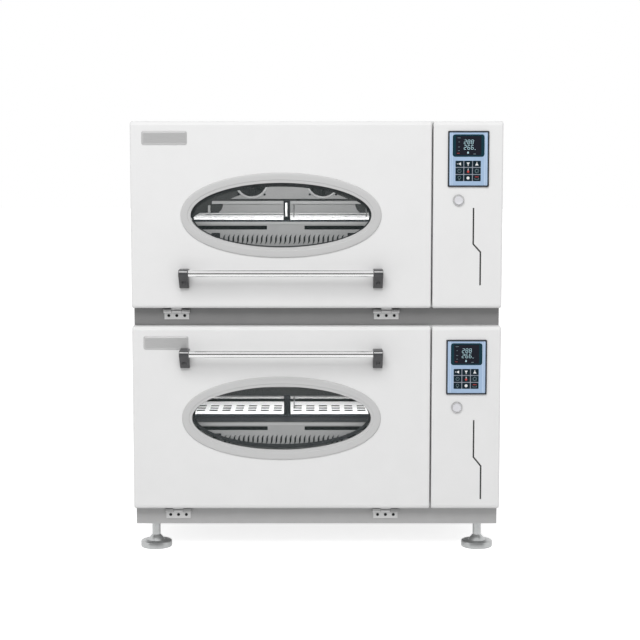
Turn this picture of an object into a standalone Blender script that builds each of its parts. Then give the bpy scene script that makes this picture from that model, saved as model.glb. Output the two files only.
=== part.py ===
"""Two shaking incubators stacked on one set of levelling feet.

Metres, +Z up. The fronts face -Y and the stack stands on the floor, centred on the origin.
Each module is built in its own frame: X as the world, Y backwards from the front plane of
the door, Z upwards from the module's base. An empty puts that frame in its place.
"""

import math

import bmesh
import bpy
from mathutils import Matrix, Vector

for left_over in list(bpy.data.objects):
    bpy.data.objects.remove(left_over, do_unlink=True)

# Clearances
FIT = 0.0003  # between pieces that touch
RUNNING_FIT = 0.0004  # round a shaft in its bore

# Casing
WIDTH = 0.970
BODY_DEPTH = 0.710  # front plane of the door to the back of the cabinet
MODULE_HEIGHT = 0.5354
SHEET = 0.002  # wall of every folded casing
FRONT_BEVEL = 0.010  # rounding of the upper and lower front edges
SIDE_BEVEL = 0.004  # rounding of the upright front edges
CABINET_EDGE = 0.004  # rounding of the cabinet's long edges

# Plinth
PLINTH_HEIGHT = 0.0475
PLINTH_SETBACK = 0.036
PLINTH_SIDE_STEP = 0.003
PLINTH_BACK_STEP = 0.020

# Door
FASCIA_WIDTH = 0.1815
DOOR_GAP = 0.004
DOOR_SKIN_DEPTH = 0.030
DOOR_LINER_SHEET = 0.003
GASKET_THICKNESS = 0.004
GASKET_WIDTH = 0.010
GASKET_INSET = 0.015  # edge of the door to the middle of the gasket
GASKET_CORNER = 0.0125

# Door window
WINDOW_WIDTH = 0.472
WINDOW_HEIGHT = 0.169
RIM_WIDTH = 0.0265
RIM_PROUD = 0.004
RIM_SPIGOT = 0.006  # wall and length of the rim's part inside the door
RIM_INNER_STEP = 0.002
RIM_INNER_SLOPE = 0.003
RIM_OUTER_SLOPE = 0.004
RIM_OUTER_EDGE = 0.0016
GLASS_THICKNESS = 0.005
TUNNEL_WALL = 0.003
TUNNEL_LIP = 0.001  # rolled edge on the chamber side of the liner

# Door hinges
HINGE_FROM_DOOR_END = 0.11525  # end of the door to the middle of a leaf
LEAF_WIDTH = 0.065
LEAF_SHEET = 0.002
LEAF_BOTTOM = 0.015
HINGE_HEIGHT = 0.036
KNUCKLE_RADIUS = 0.0042
MIDDLE_KNUCKLE = 0.025
PIN_RADIUS = 0.002
KNUCKLE_GAP = 0.0005

# Handle
HANDLE_LENGTH = 0.531
ROD_RADIUS = 0.009
ROD_PROUD = 0.045  # door face to the middle of the rod
BRACKET_WIDTH = 0.025
BRACKET_PLATE = 0.010
BRACKET_RISE = 0.0095  # above and below the middle of the rod, on the arm
BRACKET_DROP = 0.041  # below the middle of the rod, on the plate
BRACKET_FILLET = 0.006
ROD_CHAMFER = 0.001
UPPER_HANDLE_HEIGHT = 0.095  # above the lower edge of the door
LOWER_HANDLE_DROP = 0.068  # below the upper edge of the door

# Chamber
CHAMBER_SIDE_WALL = 0.0415  # outer left face to the chamber
CHAMBER_COLUMN_WALL = 0.033  # chamber to the control column
CHAMBER_FLOOR_WALL = 0.0298  # lower edge of the door to the chamber
CHAMBER_ROOF = 0.0324
CHAMBER_BACK_WALL = 0.047
APRON_DEPTH = 0.045
APRON_SHEET = 0.002
APRON_TOP = 0.272
APRON_LIP = 0.008
LOUVRE_COUNT = 26
LOUVRE_PITCH = 0.0125
LOUVRE_WIDTH = 0.0065
LOUVRE_LENGTH = 0.023
LOUVRE_HEIGHT = 0.226
LOUVRE_BOW = 0.0039
LOUVRE_TAPER = 0.35  # share of its width that a louvre loses at its ends
AIR_SLOT_HEIGHT = 0.257
AIR_SLOT_WIDTH = 0.009
AIR_SLOT_GAP = 0.100  # between the two slots, in the middle of the apron
AIR_SLOT_MARGIN = 0.020
AIR_SLOT_CORNER = 0.0044
DUCT_SPACE = 0.063  # duct panel to the chamber's back
DUCT_SHEET = 0.002
DUCT_BOTTOM = 0.080
PORT_SPACING = 0.210
PORT_HEIGHT = 0.3625
PORT_RADIUS = 0.049
PORT_RING = 0.006
PORT_RING_PROUD = 0.007
SHOULDER_PLATE_WIDTH = 0.349
SHOULDER_PLATE_BOTTOM = 0.309
SHOULDER_PLATE_TOP = 0.430
SHOULDER_CUT = 0.030
SHOULDER_PLATE_PROUD = 0.004

# Air circulation
FAN_RADIUS = 0.042
FAN_HUB_RADIUS = 0.014
FAN_HUB_ROUND = 0.004
FAN_WIDTH = 0.022
FAN_SETBACK = 0.0133  # behind the duct panel, clear of the heater loop
FAN_BLADES = 6
BLADE_SHEET = 0.002
BLADE_DEPTH = 0.0185
BLADE_ROOT = 0.003  # length of a blade inside the hub
BLADE_TWIST = math.radians(35)
FAN_SHAFT_RADIUS = 0.004
FAN_MOTOR_RADIUS = 0.034
FAN_MOTOR_LENGTH = 0.030
HEATER_RADIUS = 0.004
HEATER_MARGIN = 0.012  # round the fans
HEATER_CORNER = 0.040

# Shaker drive
ORBIT_RADIUS = 0.013
REST_PHASE = math.radians(-65)  # where the crank pins stand at rest
BEARING_TOP = 0.180
BEARING_RADIUS = 0.030
JOURNAL_RADIUS = 0.012
JOURNAL_LENGTH = 0.050
CRANK_DISC_RADIUS = 0.034
CRANK_DISC = 0.018
COUNTERWEIGHT_RADIUS = 0.078
COUNTERWEIGHT_ANGLE = math.radians(130)
PIN_JOURNAL_RADIUS = 0.010
PIN_JOURNAL_LENGTH = 0.034
MOTOR_RADIUS = 0.065
MOTOR_FLANGE_RADIUS = 0.078
MOTOR_FLANGE = 0.010
MOTOR_SHOULDER = 0.010
DRIVE_FROM_FRONT = 0.130  # front of the platform to the driven crank
IDLER_FROM_BACK = 0.100  # back of the platform to the idler cranks
IDLER_FROM_SIDE = 0.105

# Shaker table
PLATFORM_SIDE_ROOM = 0.022  # more than the orbit radius, as the next two are
PLATFORM_FRONT_ROOM = 0.015
PLATFORM_BACK_ROOM = 0.100
PLATFORM_TOP = 0.262
PLATFORM_SHEET = 0.004
PLATFORM_SKIRT = 0.020
HUB_RADIUS = 0.024
TRAY_SIDE_STEP = 0.075  # edge of the platform to the tray, as the next two are
TRAY_FRONT_STEP = 0.130
TRAY_BACK_STEP = 0.005
TRAY_SHEET = 0.003
TRAY_EDGE = 0.011  # height of the tray's folded edge
TRAY_HOLE_WIDTH = 0.022
TRAY_HOLE_DEPTH = 0.020
TRAY_PITCH_X = 0.0356
TRAY_PITCH_Y = 0.040
TRAY_HOLE_MARGIN = 0.020  # least distance from the tray's ends to the middle of a hole
TRAY_ROW_START = 0.044  # front of the tray to its first row
TRAY_ROW_MARGIN = 0.016  # least distance from the last row to the well
TRAY_WELL_DEPTH = 0.077
TRAY_WELL_FROM_BACK = 0.058
TRAY_WELL_MARGIN = 0.025
LOCK_POST_WIDTH = 0.018
LOCK_POST_DEPTH = 0.006
LOCK_POST_TOP = 0.323
LOCK_SLOT_WIDTH = 0.006
LOCK_SLOT_LENGTH = 0.020
LOCK_SLOT_DROP = 0.012

# Control column
PANEL_WIDTH = 0.107
PANEL_HEIGHT = 0.145
PANEL_FROM_SIDE = 0.0905  # outer right face to the middle of the panel
PANEL_PROUD = 0.003
PANEL_BODY_DEPTH = 0.022
PANEL_FRAME = 0.004  # visible frame round the film
PANEL_LEDGE = 0.003  # flange beyond the cut-out
PANEL_CORNER = 0.006
FILM_THICKNESS = 0.0012
UPPER_PANEL_DROP = 0.025  # top of the panel below the top of the module
LOWER_PANEL_DROP = 0.035
DISPLAY_WIDTH = 0.083
DISPLAY_HEIGHT = 0.058
DISPLAY_DROP = 0.017
DISPLAY_RAISE = 0.0004
KEYPAD_WIDTH = 0.068
KEYPAD_HEIGHT = 0.053
KEYPAD_DROP = 0.081
KEY_GAP = 0.002
KEY_RAISE = 0.0005
KEY_ROWS = 3
BUTTON_FROM_SIDE = 0.115
BUTTON_DROP = 0.035  # below the panel
BUTTON_RADIUS = 0.0112
BUTTON_PROUD = 0.0065
BUTTON_ROUND = 0.003
BUTTON_ROUND_DEPTH = 0.0015
BUTTON_FLANGE = 0.0135
BUTTON_FLANGE_SHEET = 0.003
BUTTON_LENGTH = 0.012  # behind the fascia
COLLAR_RADIUS = 0.0145
COLLAR_PROUD = 0.0035

# Levelling feet
FOOT_FROM_SIDE = 0.052
FRONT_FOOT_DEPTH = 0.075
REAR_FOOT_FROM_BACK = 0.075
FEET_HEIGHT = 0.071
FOOT_DISC_RADIUS = 0.042
FOOT_DISC_HEIGHT = 0.019
FOOT_DISC_EDGE = 0.005
FOOT_BOSS_RADIUS = 0.0225
FOOT_BOSS_HEIGHT = 0.012
STEM_RADIUS = 0.011
STEM_ABOVE_PLINTH_FLOOR = 0.012
NUT_RADIUS = 0.017
NUT_HEIGHT = 0.009

# Back of the cabinet
VENT_COUNT = 9
VENT_PITCH = 0.018
VENT_WIDTH = 0.008
VENT_LENGTH = 0.090
VENT_FROM_SIDE = 0.125
VENT_HEIGHT = 0.150
INLET_WIDTH = 0.028
INLET_HEIGHT = 0.022
INLET_DEPTH = 0.018
INLET_FROM_SIDE = 0.085
INLET_Z = 0.080
INLET_WALL = 0.002
INLET_PIN = 0.002
INLET_PIN_HEIGHT = 0.004
INLET_PIN_SPACING = 0.007
INLET_PIN_RISE = 0.0035  # of the earth pin over the middle, and of the others under it
INLET_PIN_INSET = 0.004  # end of a pin behind the back of the cabinet

# Places that follow from the sizes
DOOR_LEFT = -WIDTH / 2
FASCIA_LEFT = WIDTH / 2 - FASCIA_WIDTH
DOOR_RIGHT = FASCIA_LEFT - DOOR_GAP
DOOR_MIDDLE = (DOOR_LEFT + DOOR_RIGHT) / 2
FRONT_BOTTOM = PLINTH_HEIGHT
WINDOW_Z = (FRONT_BOTTOM + MODULE_HEIGHT) / 2
HINGE_SPACING = (DOOR_RIGHT - DOOR_LEFT) / 2 - HINGE_FROM_DOOR_END
LINER_FRONT = DOOR_SKIN_DEPTH + FIT
LINER_BACK = LINER_FRONT + DOOR_LINER_SHEET
CABINET_FRONT = LINER_BACK + GASKET_THICKNESS + 2 * FIT
HINGE_DEPTH = PLINTH_SETBACK - FIT - KNUCKLE_RADIUS
HINGE_LINE = (0, HINGE_DEPTH, HINGE_HEIGHT)
REST_OFFSET = Vector((math.cos(REST_PHASE), math.sin(REST_PHASE), 0)) * ORBIT_RADIUS
CRANK_BOTTOM = BEARING_TOP + FIT
CRANK_TOP = CRANK_BOTTOM + CRANK_DISC
CHAMBER_LEFT = DOOR_LEFT + CHAMBER_SIDE_WALL
CHAMBER_RIGHT = FASCIA_LEFT - CHAMBER_COLUMN_WALL
CHAMBER_MIDDLE = (CHAMBER_LEFT + CHAMBER_RIGHT) / 2
CHAMBER_FLOOR = FRONT_BOTTOM + CHAMBER_FLOOR_WALL
CHAMBER_CEILING = MODULE_HEIGHT - CHAMBER_ROOF
CHAMBER_BACK = BODY_DEPTH - CHAMBER_BACK_WALL
DUCT_DEPTH = CHAMBER_BACK - DUCT_SPACE
FAN_FRONT = DUCT_DEPTH + FAN_SETBACK
PLATFORM_MIDDLE = CHAMBER_MIDDLE + REST_OFFSET.x
PLATFORM_WIDTH = CHAMBER_RIGHT - CHAMBER_LEFT - 2 * PLATFORM_SIDE_ROOM
PLATFORM_FRONT = APRON_DEPTH + APRON_SHEET + APRON_LIP + PLATFORM_FRONT_ROOM
PLATFORM_BACK = DUCT_DEPTH - PLATFORM_BACK_ROOM
DRIVE_DEPTH = PLATFORM_FRONT + DRIVE_FROM_FRONT
IDLER_DEPTH = PLATFORM_BACK - IDLER_FROM_BACK
IDLER_SPACING = PLATFORM_WIDTH / 2 - IDLER_FROM_SIDE
TRAY_WIDTH = PLATFORM_WIDTH - 2 * TRAY_SIDE_STEP
TRAY_FRONT = PLATFORM_FRONT + TRAY_FRONT_STEP
TRAY_BACK = PLATFORM_BACK - TRAY_BACK_STEP
TRAY_WELL_BACK = TRAY_BACK - TRAY_WELL_FROM_BACK
TRAY_WELL_FRONT = TRAY_WELL_BACK - TRAY_WELL_DEPTH
TRAY_FIRST_ROW = TRAY_FRONT + TRAY_ROW_START
TRAY_COLUMNS = 1 + int((TRAY_WIDTH - 2 * TRAY_HOLE_MARGIN) / TRAY_PITCH_X)
TRAY_ROWS = 1 + int((TRAY_WELL_FRONT - TRAY_ROW_MARGIN - TRAY_FIRST_ROW) / TRAY_PITCH_Y)
PANEL_MIDDLE = WIDTH / 2 - PANEL_FROM_SIDE
BUTTON_X = WIDTH / 2 - BUTTON_FROM_SIDE
VENT_X = WIDTH / 2 - VENT_FROM_SIDE
INLET_X = WIDTH / 2 - INLET_FROM_SIDE
FOOT_SPACING = WIDTH / 2 - FOOT_FROM_SIDE
REAR_FOOT_DEPTH = BODY_DEPTH - REAR_FOOT_FROM_BACK
FRONT_REACH = ROD_PROUD + BRACKET_RISE
FRONT_Y = -(BODY_DEPTH - FRONT_REACH) / 2
BASES = {"lower": FEET_HEIGHT, "upper": FEET_HEIGHT + MODULE_HEIGHT + FIT}

# Sides of round shapes
ROUND_STEPS = 16
SMALL_STEPS = 12
PIN_STEPS = 8
OVAL_STEPS = 30
BEND_STEPS = 3  # in a quarter of a rounded edge
HEATER_CORNER_STEPS = 3
COUNTERWEIGHT_STEPS = 10
ARC_STEPS = 6  # in half a turn
SMOOTH_ANGLE = math.radians(35)


# Materials

def finish(name, colour, roughness, metallic=0.0, alpha=1.0):
    """One Principled BSDF material."""
    made = bpy.data.materials.new(name)
    made.use_nodes = True
    made.diffuse_color = (*colour, alpha)
    shader = made.node_tree.nodes["Principled BSDF"]
    shader.inputs["Base Color"].default_value = (*colour, 1)
    shader.inputs["Roughness"].default_value = roughness
    shader.inputs["Metallic"].default_value = metallic
    shader.inputs["Alpha"].default_value = alpha
    return made


FINISHES = {
    "white_enamel": finish("white_enamel", (0.80, 0.80, 0.80), 0.35),
    "grey_enamel": finish("grey_enamel", (0.35, 0.35, 0.35), 0.45),
    "liner_steel": finish("liner_steel", (0.30, 0.30, 0.30), 0.40, 0.8),
    "dark_plastic": finish("dark_plastic", (0.06, 0.06, 0.065), 0.45),
    "grey_plastic": finish("grey_plastic", (0.66, 0.66, 0.66), 0.40),
    "window_glass": finish("window_glass", (0.75, 0.80, 0.80), 0.05, 0.0, 0.25),
    "seal_rubber": finish("seal_rubber", (0.05, 0.05, 0.05), 0.70),
    "bright_aluminium": finish("bright_aluminium", (0.80, 0.80, 0.81), 0.22, 1.0),
    "machined_steel": finish("machined_steel", (0.55, 0.55, 0.56), 0.30, 1.0),
    "white_tray": finish("white_tray", (0.78, 0.78, 0.78), 0.45),
    "blue_film": finish("blue_film", (0.43, 0.58, 0.80), 0.40),
    "cast_iron": finish("cast_iron", (0.12, 0.12, 0.13), 0.60, 0.5),
}


# Mesh makers: each returns a closed bmesh in the module's frame

def circle(radius, centre=(0.0, 0.0), steps=ROUND_STEPS, start=0.0):
    """Points of a circle in the plane of a sheet."""
    turns = [start + 2 * math.pi * i / steps for i in range(steps)]
    return [(centre[0] + radius * math.cos(t), centre[1] + radius * math.sin(t)) for t in turns]


def rectangle(left, right, bottom, top):
    return [(left, bottom), (right, bottom), (right, top), (left, top)]


def rounded_rectangle(left, right, bottom, top, radius, steps=3):
    """A rectangle with arcs for corners."""
    corners = [
        (right - radius, top - radius, 0),
        (left + radius, top - radius, 1),
        (left + radius, bottom + radius, 2),
        (right - radius, bottom + radius, 3),
    ]
    points = []
    for x, z, quarter in corners:
        for i in range(steps + 1):
            turn = math.pi / 2 * (quarter + i / steps)
            points.append((x + radius * math.cos(turn), z + radius * math.sin(turn)))
    return points


def oval(grow=0.0):
    """Points of the window's ellipse in the door, moved outwards by grow."""
    points = []
    for i in range(OVAL_STEPS):
        turn = 2 * math.pi * i / OVAL_STEPS
        x, z = WINDOW_WIDTH / 2 * math.cos(turn), WINDOW_HEIGHT / 2 * math.sin(turn)
        normal = Vector((x / WINDOW_WIDTH**2, z / WINDOW_HEIGHT**2)).normalized()
        points.append((DOOR_MIDDLE + x + grow * normal.x, WINDOW_Z + z + grow * normal.y))
    return points


def spread(u, v, along, normal):
    """A point of a sheet whose thickness runs along the axis named normal."""
    return {"X": (along, u, v), "Y": (u, along, v), "Z": (u, v, along)}[normal]


def sheet(outline, low, high, normal, holes=()):
    """A flat outline with holes, filled and extruded from low to high along normal."""
    mesh = bmesh.new()
    for loop in [outline, *holes]:
        corners = [mesh.verts.new(spread(u, v, low, normal)) for u, v in loop]
        for first, second in zip(corners, corners[1:] + corners[:1]):
            mesh.edges.new((first, second))
    bmesh.ops.triangle_fill(mesh, use_beauty=True, use_dissolve=False, edges=mesh.edges[:])
    made = bmesh.ops.extrude_face_region(mesh, geom=mesh.faces[:])["geom"]
    moved = [item for item in made if isinstance(item, bmesh.types.BMVert)]
    bmesh.ops.translate(mesh, vec=spread(0, 0, high - low, normal), verts=moved)
    bmesh.ops.recalc_face_normals(mesh, faces=mesh.faces[:])
    return mesh


def block(low, high):
    """A box between two corners."""
    return sheet(rectangle(low[0], high[0], low[2], high[2]), low[1], high[1], "Y")


def turned(profile, centre, axis="Z", steps=ROUND_STEPS):
    """A profile of (radius, height) points spun about an axis through centre."""
    mesh = bmesh.new()
    corners = [mesh.verts.new((radius, 0, height)) for radius, height in profile]
    for first, second in zip(corners, corners[1:]):
        mesh.edges.new((first, second))
    if profile[0][0] > 0:
        mesh.edges.new((corners[-1], corners[0]))
    bmesh.ops.spin(
        mesh,
        geom=mesh.verts[:] + mesh.edges[:],
        cent=(0, 0, 0),
        axis=(0, 0, 1),
        angle=2 * math.pi,
        steps=steps,
        use_duplicate=False,
    )
    bmesh.ops.remove_doubles(mesh, verts=mesh.verts[:], dist=1e-6)
    bmesh.ops.recalc_face_normals(mesh, faces=mesh.faces[:])
    tilt = {
        "Z": Matrix.Identity(4),
        "Y": Matrix.Rotation(-math.pi / 2, 4, "X"),
        "X": Matrix.Rotation(math.pi / 2, 4, "Y"),
    }[axis]
    bmesh.ops.transform(mesh, matrix=Matrix.Translation(centre) @ tilt, verts=mesh.verts[:])
    return mesh


def cylinder(radius, low, high, centre, axis="Z", steps=ROUND_STEPS):
    """A plain cylinder; low and high are heights along the axis from centre."""
    return turned([(0, low), (radius, low), (radius, high), (0, high)], centre, axis, steps)


def bore_radius(radius, steps):
    """Corner radius of a faceted bore whose flats clear a shaft of this radius."""
    return (radius + RUNNING_FIT) / math.cos(math.pi / steps)


def bore(radius, low, high, centre, axis="Z", steps=SMALL_STEPS):
    """Cutter for the bore that a shaft of this radius turns or slides in."""
    return cylinder(bore_radius(radius, steps), low, high, centre, axis, steps)


def ring_sweep(loops):
    """A closed ring from outlines of equal length, joined one to the next and round again."""
    mesh = bmesh.new()
    rows = [[mesh.verts.new(point) for point in loop] for loop in loops]
    for row, following in zip(rows, rows[1:] + rows[:1]):
        for i in range(len(row)):
            j = (i + 1) % len(row)
            mesh.faces.new((row[i], row[j], following[j], following[i]))
    bmesh.ops.recalc_face_normals(mesh, faces=mesh.faces[:])
    return mesh


def joined(*meshes):
    """Several meshes as one cutter or one group of additions; they don't overlap each other."""
    whole = bmesh.new()
    for mesh in meshes:
        copied = bpy.data.meshes.new("joined")
        mesh.to_mesh(copied)
        whole.from_mesh(copied)
        bpy.data.meshes.remove(copied)
        mesh.free()
    return whole


def section_bar(section, left, right, rounding):
    """A section in Y and Z extruded along X, with the edges of its ends rounded at the front."""
    mesh = sheet(section, left, right, "X")
    bmesh.ops.dissolve_limit(
        mesh, angle_limit=math.radians(1), verts=mesh.verts[:], edges=mesh.edges[:]
    )
    back = max(y for y, z in section)
    ends = [
        edge
        for edge in mesh.edges
        if abs(edge.verts[0].co.x - edge.verts[1].co.x) < FIT
        and min(edge.verts[0].co.y, edge.verts[1].co.y) < back - FIT
    ]
    bmesh.ops.bevel(mesh, geom=ends, offset=rounding, segments=2, profile=0.5, affect="EDGES")
    return mesh


# Objects

def empty(name, location, parent=None):
    """A frame that pieces are placed in."""
    made = bpy.data.objects.new(name, None)
    bpy.context.scene.collection.objects.link(made)
    made.location = location
    made.parent = parent
    return made


class Frame:
    """Where pieces go: an empty, and the module point that the empty stands on."""

    def __init__(self, name, point=(0, 0, 0), parent=None):
        self.point = Vector(point)
        above = parent.point if parent else Vector((0, 0, 0))
        self.empty = empty(name, self.point - above, parent.empty if parent else None)


def link(name, mesh, frame):
    """An object from a mesh drawn in the module's frame."""
    data = bpy.data.meshes.new(name)
    bmesh.ops.translate(mesh, vec=-frame.point, verts=mesh.verts[:])
    mesh.to_mesh(data)
    mesh.free()
    made = bpy.data.objects.new(name, data)
    bpy.context.scene.collection.objects.link(made)
    made.parent = frame.empty
    return made


def tool(target, mesh, frame, operation):
    """A cutter or an addition, worked by a Boolean on target."""
    made = link(f"{target.name}_{operation.lower()}_{len(target.modifiers)}", mesh, frame)
    made.hide_render = True
    made.display_type = "WIRE"
    change = target.modifiers.new(operation.title(), "BOOLEAN")
    change.operation = operation
    change.solver = "EXACT"
    change.object = made


def piece(name, mesh, material, frame, add=(), cut=()):
    """One sub-part: a mesh with shapes added, then shapes cut away."""
    made = link(name, mesh, frame)
    made.data.materials.append(FINISHES[material])
    made.data.shade_smooth()
    made.data.set_sharp_from_angle(angle=SMOOTH_ANGLE)
    for extra in add:
        tool(made, extra, frame, "UNION")
    for cutter in cut:
        tool(made, cutter, frame, "DIFFERENCE")
    return made


# Casing

def front_section(depth, inset=0.0, back=None):
    """Side view of a front panel: a flat face with rounded upper and lower edges."""
    radius = FRONT_BEVEL - inset
    low, high = FRONT_BOTTOM + inset, MODULE_HEIGHT - inset
    points = []
    for middle, start in ((high - radius, 0.5), (low + radius, 1.0)):
        for i in range(BEND_STEPS + 1):
            turn = math.pi * (start + i / BEND_STEPS / 2)
            points.append((inset + radius + radius * math.cos(turn), middle + radius * math.sin(turn)))
    end = depth if back is None else back
    return [*points, (end, low), (end, high)]


def build_cabinet(prefix, module):
    """Folded casing with the front frame round the chamber, back vents and the mains inlet."""
    left, right = -WIDTH / 2, WIDTH / 2
    outer = sheet(
        rounded_rectangle(left, right, FRONT_BOTTOM, MODULE_HEIGHT, CABINET_EDGE, 2),
        CABINET_FRONT, BODY_DEPTH, "Y",
    )
    inner = block(
        (left + SHEET, CABINET_FRONT + SHEET, FRONT_BOTTOM + SHEET),
        (right - SHEET, BODY_DEPTH - SHEET, MODULE_HEIGHT - SHEET),
    )
    wall = SHEET + FIT
    doorway = block(
        (CHAMBER_LEFT - wall, CABINET_FRONT - SHEET, CHAMBER_FLOOR - wall),
        (CHAMBER_RIGHT + wall, CABINET_FRONT + 2 * SHEET, CHAMBER_CEILING + wall),
    )
    service = block(
        (FASCIA_LEFT + GASKET_INSET, CABINET_FRONT - SHEET, CHAMBER_FLOOR),
        (right - GASKET_INSET, CABINET_FRONT + 2 * SHEET, CHAMBER_CEILING),
    )
    vents = []
    for i in range(VENT_COUNT):
        z = VENT_HEIGHT + i * VENT_PITCH
        vents.append(block(
            (VENT_X - VENT_LENGTH / 2, BODY_DEPTH - 2 * SHEET, z),
            (VENT_X + VENT_LENGTH / 2, BODY_DEPTH + SHEET, z + VENT_WIDTH),
        ))
    socket = block(
        (INLET_X - INLET_WIDTH / 2 - INLET_WALL, BODY_DEPTH - INLET_DEPTH - INLET_WALL,
         INLET_Z - INLET_HEIGHT / 2 - INLET_WALL),
        (INLET_X + INLET_WIDTH / 2 + INLET_WALL, BODY_DEPTH - SHEET / 2,
         INLET_Z + INLET_HEIGHT / 2 + INLET_WALL),
    )
    recess = block(
        (INLET_X - INLET_WIDTH / 2, BODY_DEPTH - INLET_DEPTH, INLET_Z - INLET_HEIGHT / 2),
        (INLET_X + INLET_WIDTH / 2, BODY_DEPTH + SHEET, INLET_Z + INLET_HEIGHT / 2),
    )
    shell = piece(
        f"{prefix}_cabinet_shell", outer, "white_enamel", module,
        cut=[inner, joined(doorway, service, *vents)],
    )
    tool(shell, socket, module, "UNION")
    tool(shell, recess, module, "DIFFERENCE")
    pins = []
    for side, rise in ((-1, -INLET_PIN_RISE), (0, INLET_PIN_RISE), (1, -INLET_PIN_RISE)):
        x = INLET_X + side * INLET_PIN_SPACING
        z = INLET_Z + rise
        pins.append(block(
            (x - INLET_PIN / 2, BODY_DEPTH - INLET_DEPTH - SHEET / 2, z - INLET_PIN_HEIGHT / 2),
            (x + INLET_PIN / 2, BODY_DEPTH - INLET_PIN_INSET, z + INLET_PIN_HEIGHT / 2),
        ))
    tool(shell, joined(*pins), module, "UNION")


def build_plinth(prefix, module):
    """Open base pan, set back under the door, with holes for the feet."""
    half = WIDTH / 2 - PLINTH_SIDE_STEP
    back = BODY_DEPTH - PLINTH_BACK_STEP
    holes = [
        circle(bore_radius(STEM_RADIUS, SMALL_STEPS), (side * FOOT_SPACING, depth), SMALL_STEPS)
        for side in (-1, 1)
        for depth in (FRONT_FOOT_DEPTH, REAR_FOOT_DEPTH)
    ]
    pan = sheet(rectangle(-half, half, PLINTH_SETBACK, back), 0, PLINTH_HEIGHT - FIT, "Z", holes)
    hollow = block(
        (-half + SHEET, PLINTH_SETBACK + SHEET, SHEET),
        (half - SHEET, back - SHEET, PLINTH_HEIGHT + SHEET),
    )
    piece(f"{prefix}_plinth", pan, "grey_enamel", module, cut=[hollow])


def build_foot(name, x, depth, module):
    """Levelling foot: disc, conical boss, stem and lock nut."""
    base = -FEET_HEIGHT
    top_of_disc = base + FOOT_DISC_HEIGHT
    profile = [
        (0, base),
        (FOOT_DISC_RADIUS, base),
        (FOOT_DISC_RADIUS, top_of_disc - FOOT_DISC_EDGE),
        (FOOT_DISC_RADIUS - FOOT_DISC_EDGE, top_of_disc),
        (FOOT_BOSS_RADIUS, top_of_disc + FOOT_DISC_EDGE / 4),
        (STEM_RADIUS, top_of_disc + FOOT_BOSS_HEIGHT),
        (STEM_RADIUS, STEM_ABOVE_PLINTH_FLOOR),
        (0, STEM_ABOVE_PLINTH_FLOOR),
    ]
    foot = turned(profile, (x, depth, 0))
    nut = sheet(circle(NUT_RADIUS, (x, depth), 6), -NUT_HEIGHT - FIT, -FIT, "Z")
    piece(name, foot, "machined_steel", module, add=[nut])


# Door

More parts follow.
